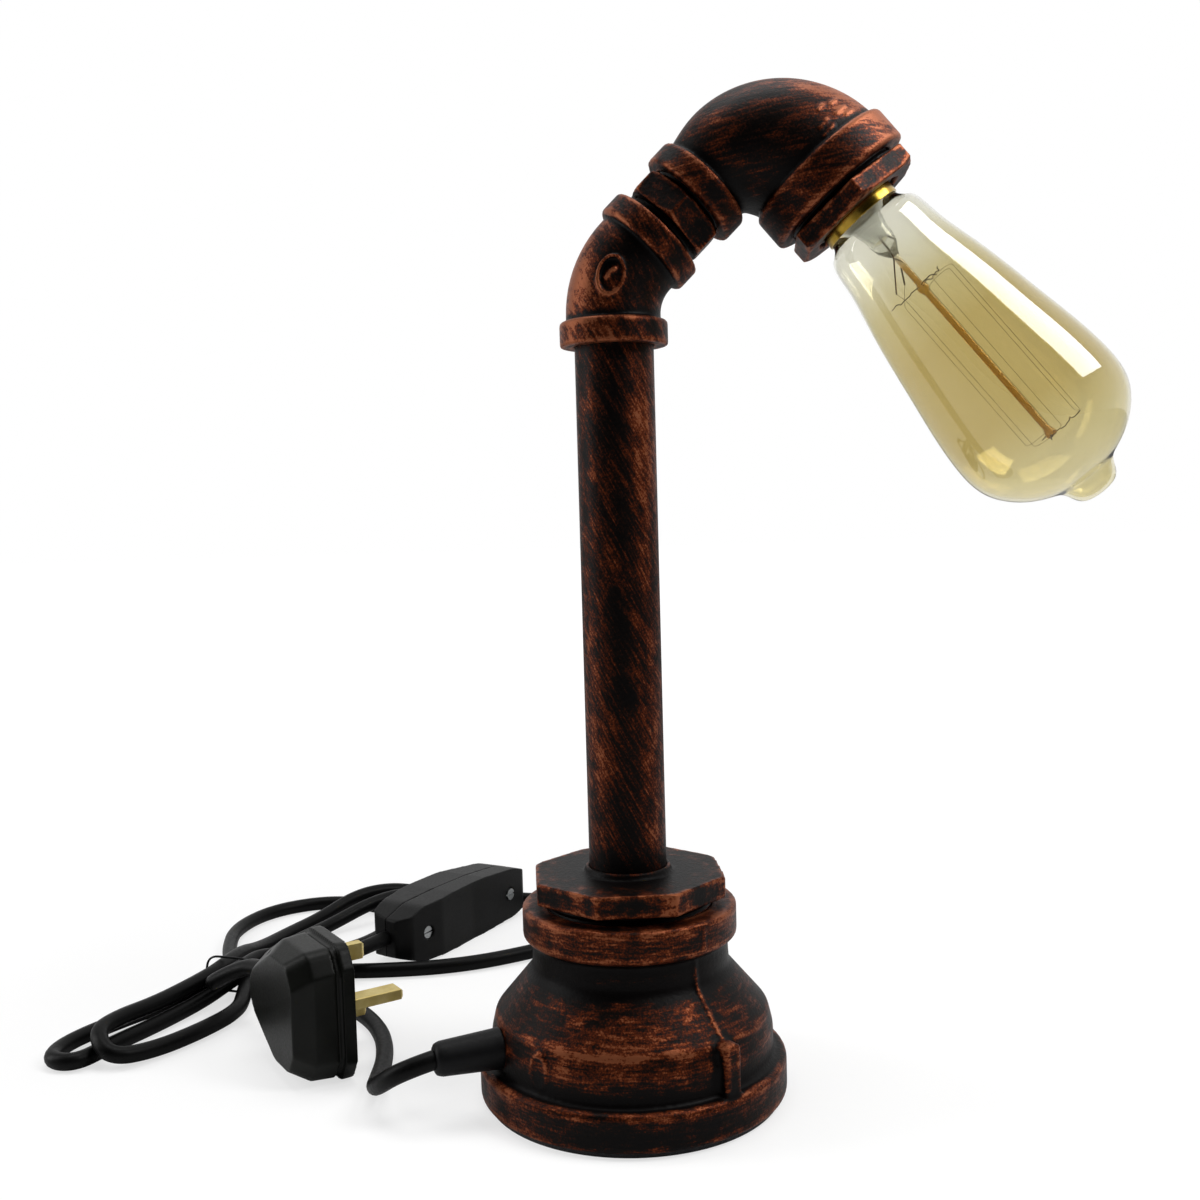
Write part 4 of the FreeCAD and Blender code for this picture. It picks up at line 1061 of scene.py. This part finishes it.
# Slag glass is black and glossy. Tin solder is a soft grey.
black_glass = plain_finish("black_slag_glass", "#0b0b0d", "#050506", grain=0.8, roughness=(0.08, 0.16))
solder = plain_finish("tin_solder", "#8f9092", "#6f7073", grain=0.5, roughness=(0.3, 0.5), metallic=1.0)
hidden_finish(black_glass, "bulb_insulator")
hidden_finish(solder, "bulb_contact")

# ------------------------------
# Gland. A tapered strain relief moulded in black PVC, held by a nut inside the
# foot, and the terminals, earth bond and leads behind it.

GLAND_ANGLE = math.radians(202)
GLAND_Z = 22.5
gland_out = Vector((math.cos(GLAND_ANGLE), math.sin(GLAND_ANGLE), 0))
GLAND = laid(UP * GLAND_Z, UP, gland_out)
# Flexible PVC: black, with the low broad shine of a slightly soft surface.
black_pvc = plain_finish(
    "black_flexible_pvc", "#0d0d0e", "#070708", grain=0.9, roughness=(0.42, 0.56), bump_depth=0.05,
    specular=0.12,
)
relief_profile = [(0, 37.1), (5.1, 37.1), (5.1, 48.2), (6.9, 48.45), (6.95, 49.3), (6.75, 50.2)]
relief_profile += [(6.75 - 0.1 * k, 50.2 + 1.85 * k) for k in range(1, 11)]
relief_profile += [(5.5, 69.6), (5.1, 70.6), (4.3, 71.1), (0, 71.1)]
gland = shaped("tapered_cord_gland", turned(relief_profile, 64), GLAND)
finished(gland, black_pvc, "cord_gland")

INSIDE_FOOT = laid(Vector((0, 0, 0)), gland_out, UP)
block_pair = screws(
    "terminal_block_screws", INSIDE_FOOT, ((-15, -3.8, 11.6), (-15, 3.8, 11.6)),
    head_radius=1.65, head_height=0.8, slot_width=0.5, shank_radius=1.5, shank_length=5.4, finish=brass,
)
stands_for(block_pair, "terminal_screws")
BOND = INSIDE_FOOT @ Matrix.Translation((-6.9, 36, 24)) @ Matrix.Rotation(math.pi / 2, 4, "Y")
earth = screws(
    "earth_bond_screw", BOND, ((0, 0, 0),),
    head_radius=3.55, head_height=2.1, slot_width=0.8, shank_radius=2.0, shank_length=7.0, finish=zinc,
)
stands_for(earth, "earth_screw")
# Clear PVC over copper strands looks tan; natural nylon is a waxy off-white.
clear_lead = plain_finish("clear_pvc_twin_lead", "#b98b57", "#8f6234", grain=0.8, roughness=(0.2, 0.35))
white_nylon = plain_finish(
    "natural_nylon_moulding", "#dcd8cb", "#cfc9b8", grain=0.8, roughness=(0.35, 0.5)
)
hidden_finish(white_nylon, "terminal_block")
hidden_finish(zinc, "earth_tag", "earth_nut")
hidden_finish(black_pvc, "gland_nut", "cord_tail")
hidden_finish(clear_lead, "lead_stem", "lead_arm", "lead_head")

# ------------------------------
# Cord. Black PVC flex 6.5 mm across, from the gland to the switch and on to the
# plug, lying on the table in loose loops gathered by a tie.

CORD_D = 6.5
LAMP_CORD_ROUTE = (
    (-65.9, -26.6, 22.5), (-76.5, -30.9, 20.6), (-87, -20.5, 11), (-90.5, -2, 3.6), (-91, 20, 3.3),
    (-96, 43, 3.3), (-107, 64, 3.3), (-122, 79, 3.3), (-138, 87, 3.8), (-153, 90, 4.8), (-157.5, 96, 5),
    (-155, 103.5, 5), (-144, 106, 5), (-131, 105.5, 10.5), (-117, 113.5, 13.5), (-109.2, 126.8, 13.5),
)
PLUG_CORD_ROUTE = (
    (-61.6, 207.7, 13.5), (-56, 217.2, 13.2), (-64, 226.5, 11), (-81, 229, 7), (-103, 224, 4.5),
    (-121, 216, 10.4), (-138, 205, 10.4), (-153, 188, 4), (-164, 167, 3.3), (-171, 143, 4.5),
    (-173.5, 120, 10.6), (-176, 96.5, 11.2), (-182, 82, 10.4), (-191, 62, 10), (-200, 46, 10.8),
    (-203, 32, 11), (-194, 22, 5), (-181, 33, 3.3), (-168, 52, 3.3), (-160, 71, 3.3), (-162, 86, 4.6),
    (-164.5, 99, 5), (-161, 110, 3.6), (-150, 116, 3.3), (-116, 113, 3.3), (-76, 117, 3.3),
    (-42, 135, 3.3), (-15, 158, 3.3), (-14, 187, 3.3), (-31, 208, 3.3), (-58, 217, 3.3),
    (-86, 216, 3.3), (-110, 208, 10.4), (-127, 194, 10.4), (-146, 177, 3.8), (-159, 153, 3.3),
    (-167, 126, 3.6), (-171, 100, 5.6), (-178, 82, 3.6), (-189, 58, 3.3), (-200, 38, 3.3),
    (-207, 22, 3.3), (-219, 26, 3.3), (-218, 42, 3.3), (-206, 62, 3.3), (-190, 82, 3.6),
    (-178.5, 102, 5.6), (-178.5, 124, 3.6), (-187, 148, 3.3), (-192, 176, 3.3), (-182, 204, 3.3),
    (-158, 218, 3.3), (-134, 213, 3.3), (-117, 197, 3.3), (-114, 172, 3.3), (-125, 146, 3.3),
    (-144, 127, 5), (-162, 117, 11), (-167, 99, 11.2), (-172.5, 85, 11), (-172, 74.5, 13.5),
    (-162, 70.5, 19.5), (-149, 63.4, 25), (-140.4, 50.4, 25),
)


def flex(name, route, finish):
    """A free cord: one smooth spline with the route's points as its control points."""
    curve = path_curve(name, [[[c * MM for c in place] for place in route]], 3, 12)
    rounded(curve, CORD_D / 2 * MM, 6)
    curve.materials.append(finish)
    return in_scene(name, curve)


# Extruded PVC: smoother than moulded, so the cord carries a thin line of light along its top.
cord_pvc = plain_finish(
    "extruded_black_pvc_sheath", "#090909", "#050505", grain=1.2, roughness=(0.36, 0.5), bump_depth=0.04,
    specular=0.09,
)
lamp_flex = flex("flex_gland_to_switch", LAMP_CORD_ROUTE, cord_pvc)
plug_flex = flex("flex_switch_to_plug", PLUG_CORD_ROUTE, cord_pvc)

TIE = laid(Vector((-171, 100, 0)), Vector((0.954, -0.301, 0)).normalized(), UP)
ring_run = [
    (-13, 0, 0.7), (-13.3, 0, 8), (-11, 0, 15.2), (-2, 0, 15.3), (6, 0, 15.3), (13, 0, 14),
    (19.3, 0, 9), (19.3, 0, 0.8), (3, 0, 0.6), (-13, 0, 0.7), (-13.4, 0, 5),
]
tail_run = [(-13.3, 0, 4.5), (-18, -1, 5.4), (-22, 2, 3.4), (-23.5, 6.5, 1.8)]
second_tail = [(x, y + 0.9, z - 0.3) for x, y, z in tail_run]
tie_runs = [ring_run, tail_run, second_tail]
tie = wire("twisted_wire_tie", tie_runs, radius=0.5, to_place=TIE, finish=black_pvc)
stands_for(tie, "cord_tie")

# ------------------------------
# Switch. A two-part inline housing moulded in black ABS with a rocker that
# tips on a cross pin, held by two screws from below.

SWITCH = laid(Vector((-109.2, 126.8, 13.5)), Vector((0.507, 0.862, 0)).normalized(), UP)
# Black ABS has the fine matt texture of its mould; the rocker is polished where fingers press.
abs_plastic = plain_finish(
    "moulded_black_abs", "#0f0f0f", "#0a0a0a", grain=0.9, roughness=(0.4, 0.52), bump_depth=0.05,
    specular=0.1,
)
rocker_gloss = plain_finish(
    "polished_black_abs_rocker", "#131315", "#0d0d0e", grain=0.9, roughness=(0.26, 0.36), bump_depth=0.03,
    specular=0.25,
)
cover = casting("switch_upper_shell", "switch_cover", voxel=0.45, passes=3)
base = casting("switch_lower_shell", "switch_base", voxel=0.45, passes=3)
rocker = casting("tipping_rocker", "switch_rocker", voxel=0.3, passes=2)
finished(cover, abs_plastic, "switch_cover")
finished(base, abs_plastic, "switch_base")
finished(rocker, rocker_gloss, "switch_rocker")
SWITCH_BACK = SWITCH @ Matrix.Rotation(math.pi / 2, 4, "X")
switch_pair = screws(
    "switch_housing_screws", SWITCH_BACK, ((15, 0, 11.0), (80, 0, 11.0)),
    head_radius=2.75, head_height=1.8, slot_width=0.7, shank_radius=1.4, shank_length=15.5, finish=zinc,
)
stands_for(switch_pair, "switch_screws")
hidden_finish(brass, "switch_contacts")

# ------------------------------
# Plug. A UK three-pin plug: urea back shell and pin plate, a hollow collar for
# the flex, solid brass pins, two of them half sleeved, and a fuse drawer.

plug_pins = Vector((0.833, 0.553, 0)).normalized()
PLUG = laid(Vector((-123.5, 25, 25)), plug_pins, UP)
# Urea is hard, black and a little glossier than ABS. Bar brass is paler than sheet and brushed.
urea = plain_finish(
    "moulded_black_urea", "#10110e", "#0a0b09", grain=0.9, roughness=(0.32, 0.44), bump_depth=0.04,
    specular=0.12,
)
pin_brass = plain_finish(
    "solid_brass_bar", "#d8c684", "#bfa85f", grain=0.5, roughness=(0.4, 0.55), metallic=0.6,
    bump_depth=0.02,
)
plug_parts = []
for name, node, voxel, passes, finish, slot in (
    ("plug_back_shell", "plug_cover", 0.5, 3, urea, "black_moulding"),
    ("plug_pin_plate", "plug_base", 0.5, 2, urea, "black_moulding"),
    ("plug_cord_collar", "plug_collar", 0.3, 2, urea, "black_moulding"),
    ("live_blade", "live_pin", 0.25, 2, pin_brass, "brass"),
    ("neutral_blade", "neutral_pin", 0.25, 2, pin_brass, "brass"),
    ("earth_blade", "earth_pin", 0.25, 2, pin_brass, "brass"),
    ("pin_insulation", "pin_sleeves", 0.2, 1, black_pvc, "black_moulding"),
    ("fuse_drawer_moulding", "fuse_carrier", 0.35, 1, urea, "black_moulding"),
):
    plug_parts.append(casting(name, node, voxel, passes))
    finished(plug_parts[-1], finish, node)
PLUG_SCREW = PLUG @ Matrix.Translation((9.7, 15, 0)) @ Matrix.Rotation(math.pi / 2, 4, "Y")
plug_fixing = screws(
    "plug_plate_screw", PLUG_SCREW, ((0, 0, 0),),
    head_radius=2.95, head_height=1.5, slot_width=0.9, shank_radius=1.4, shank_length=1.1, finish=brass,
)
stands_for(plug_fixing, "plug_screw")
hidden_finish(porcelain, "fuse")

plug_parts += [plug_fixing, frame["nodes"]["fuse"]]
for piece, node in ((lamp_flex, "lamp_cord"), (plug_flex, "plug_cord")):
    stands_for(piece, node)

# ------------------------------
# Studio. A pale table under three soft boxes: a small key light at the right,
# one at the left and one overhead, with the camera where a buyer's eye is.

LENS, CAMERA_AT, CAMERA_TURNS = 39.54, (0, -0.4503, 0.2037), (-0.91, 4.06, -1.61)
camera_data = bpy.data.cameras.new("camera")
camera_data.sensor_width = 36.0
camera_data.lens = LENS
camera_data.clip_start = 0.01
camera = in_scene("camera", camera_data)
yaw, pitch, roll = (math.radians(a) for a in CAMERA_TURNS)
forward = Vector((math.sin(yaw) * math.cos(pitch), math.cos(yaw) * math.cos(pitch), -math.sin(pitch)))
level = forward.cross(UP).normalized()
above = level.cross(forward)
right = level * math.cos(roll) + above * math.sin(roll)
top = above * math.cos(roll) - level * math.sin(roll)


def facing(place, x_axis, y_axis, z_axis):
    """Matrix in metres that puts a camera or a lamp at a place, looking down its -Z."""
    return Matrix.Translation(place) @ Matrix((x_axis, y_axis, z_axis)).transposed().to_4x4()


camera.matrix_world = facing(CAMERA_AT, right, top, -forward)
bpy.context.scene.camera = camera


def soft_box(name, place, aim, along, wide, high, power):
    """Rectangular soft box, its wide side lying along a direction."""
    lamp = bpy.data.lights.new(name, "AREA")
    lamp.shape = "RECTANGLE"
    lamp.size, lamp.size_y = wide, high
    lamp.energy = power
    back = (Vector(place) - Vector(aim)).normalized()
    across = (Vector(along) - back * back.dot(Vector(along))).normalized()
    in_scene(name, lamp).matrix_world = facing(place, across, back.cross(across), back)


soft_box("left_box", (-0.95, 0.05, 0.5), (0, 0, 0.18), (0, 1, 0), wide=0.35, high=0.9, power=5)
key_at, key_aim, key_along = (0.378, -0.11, 0.578), (0.123, -0.005, 0.249), (0.357, 0.924, 0.129)
soft_box("key_box", key_at, key_aim, key_along, wide=0.28, high=0.28, power=2.9)
soft_box("top_box", (-0.1, 0.15, 1.15), (0, 0, 0.1), (1, 0, 0), wide=0.7, high=0.5, power=5)

TABLE_HALF, TABLE_GAP = 6, 0.0002
table_corners = [(x * TABLE_HALF, y * TABLE_HALF, 0) for x, y in ((-1, -1), (1, -1), (1, 1), (-1, 1))]
floor_mesh = bpy.data.meshes.new("table_top")
floor_mesh.from_pydata(table_corners, [], [(0, 1, 2, 3)])
floor = in_scene("table_top", floor_mesh)
floor.location.z = -TABLE_GAP
# White laminate: matt under the lamp, where it keeps the shadow, and pure white farther off.
table = bpy.data.materials.new("white_laminate")
tree = empty_tree(table)
path = add(tree, "ShaderNodeLightPath").outputs
seen = {0: path["Is Camera Ray"], 1: path["Is Transmission Ray"]}
straight = add(tree, "ShaderNodeMath", seen, operation="MAXIMUM")
spot = add(tree, "ShaderNodeTexCoord").outputs["Object"]
far = add(tree, "ShaderNodeVectorMath", {0: spot}, operation="LENGTH").outputs["Value"]
near_to_far = {"Value": far, "From Min": 0.25, "From Max": 0.6, "To Min": 0.6, "To Max": 1.0}
own_glow = add(tree, "ShaderNodeMapRange", near_to_far, interpolation_type="SMOOTHSTEP")
share = add(tree, "ShaderNodeMath", {0: straight, 1: own_glow}, operation="MULTIPLY")
matt = add(tree, "ShaderNodeBsdfDiffuse", {"Color": linear("#eeeeee")})
glow = add(tree, "ShaderNodeEmission", {"Color": (1, 1, 1, 1), "Strength": 1.1})
blend = add(tree, "ShaderNodeMixShader", {0: share, 1: matt, 2: glow})
add(tree, "ShaderNodeOutputMaterial", {"Surface": blend})
floor_mesh.materials.append(table)
floor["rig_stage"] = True

# White walls behind and at the right of the lamp, which glass and metal mirror, and dim elsewhere.
world = bpy.data.worlds.new("studio")
bpy.context.scene.world = world
tree = empty_tree(world)
path = add(tree, "ShaderNodeLightPath").outputs
seen = {0: path["Is Camera Ray"], 1: path["Is Transmission Ray"]}
clear = add(tree, "ShaderNodeMath", seen, operation="ADD")
back_right = {0: add(tree, "ShaderNodeTexCoord").outputs["Generated"], 1: (0.4, 1.0, 0.0)}
depth = add(tree, "ShaderNodeVectorMath", back_right, operation="DOT_PRODUCT").outputs["Value"]
front_to_back = {"Value": depth, "From Min": -0.3, "From Max": 0.6, "To Min": 0.02, "To Max": 1.0}
mirror = add(tree, "ShaderNodeMapRange", front_to_back)
mirrored = add(tree, "ShaderNodeMath", {0: path["Is Glossy Ray"], 1: mirror}, operation="MULTIPLY")
matt_fill = add(tree, "ShaderNodeMath", {0: path["Is Diffuse Ray"], 1: 0.2}, operation="MULTIPLY")
dim = add(tree, "ShaderNodeMath", {0: mirrored, 1: matt_fill}, operation="ADD")
level_light = add(tree, "ShaderNodeMath", {0: clear, 1: dim}, operation="MAXIMUM")
sky = add(tree, "ShaderNodeBackground", {"Color": (1, 1, 1, 1), "Strength": level_light})
add(tree, "ShaderNodeOutputWorld", {"Surface": sky})
bpy.context.scene.view_settings.view_transform = "Standard"

low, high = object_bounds()
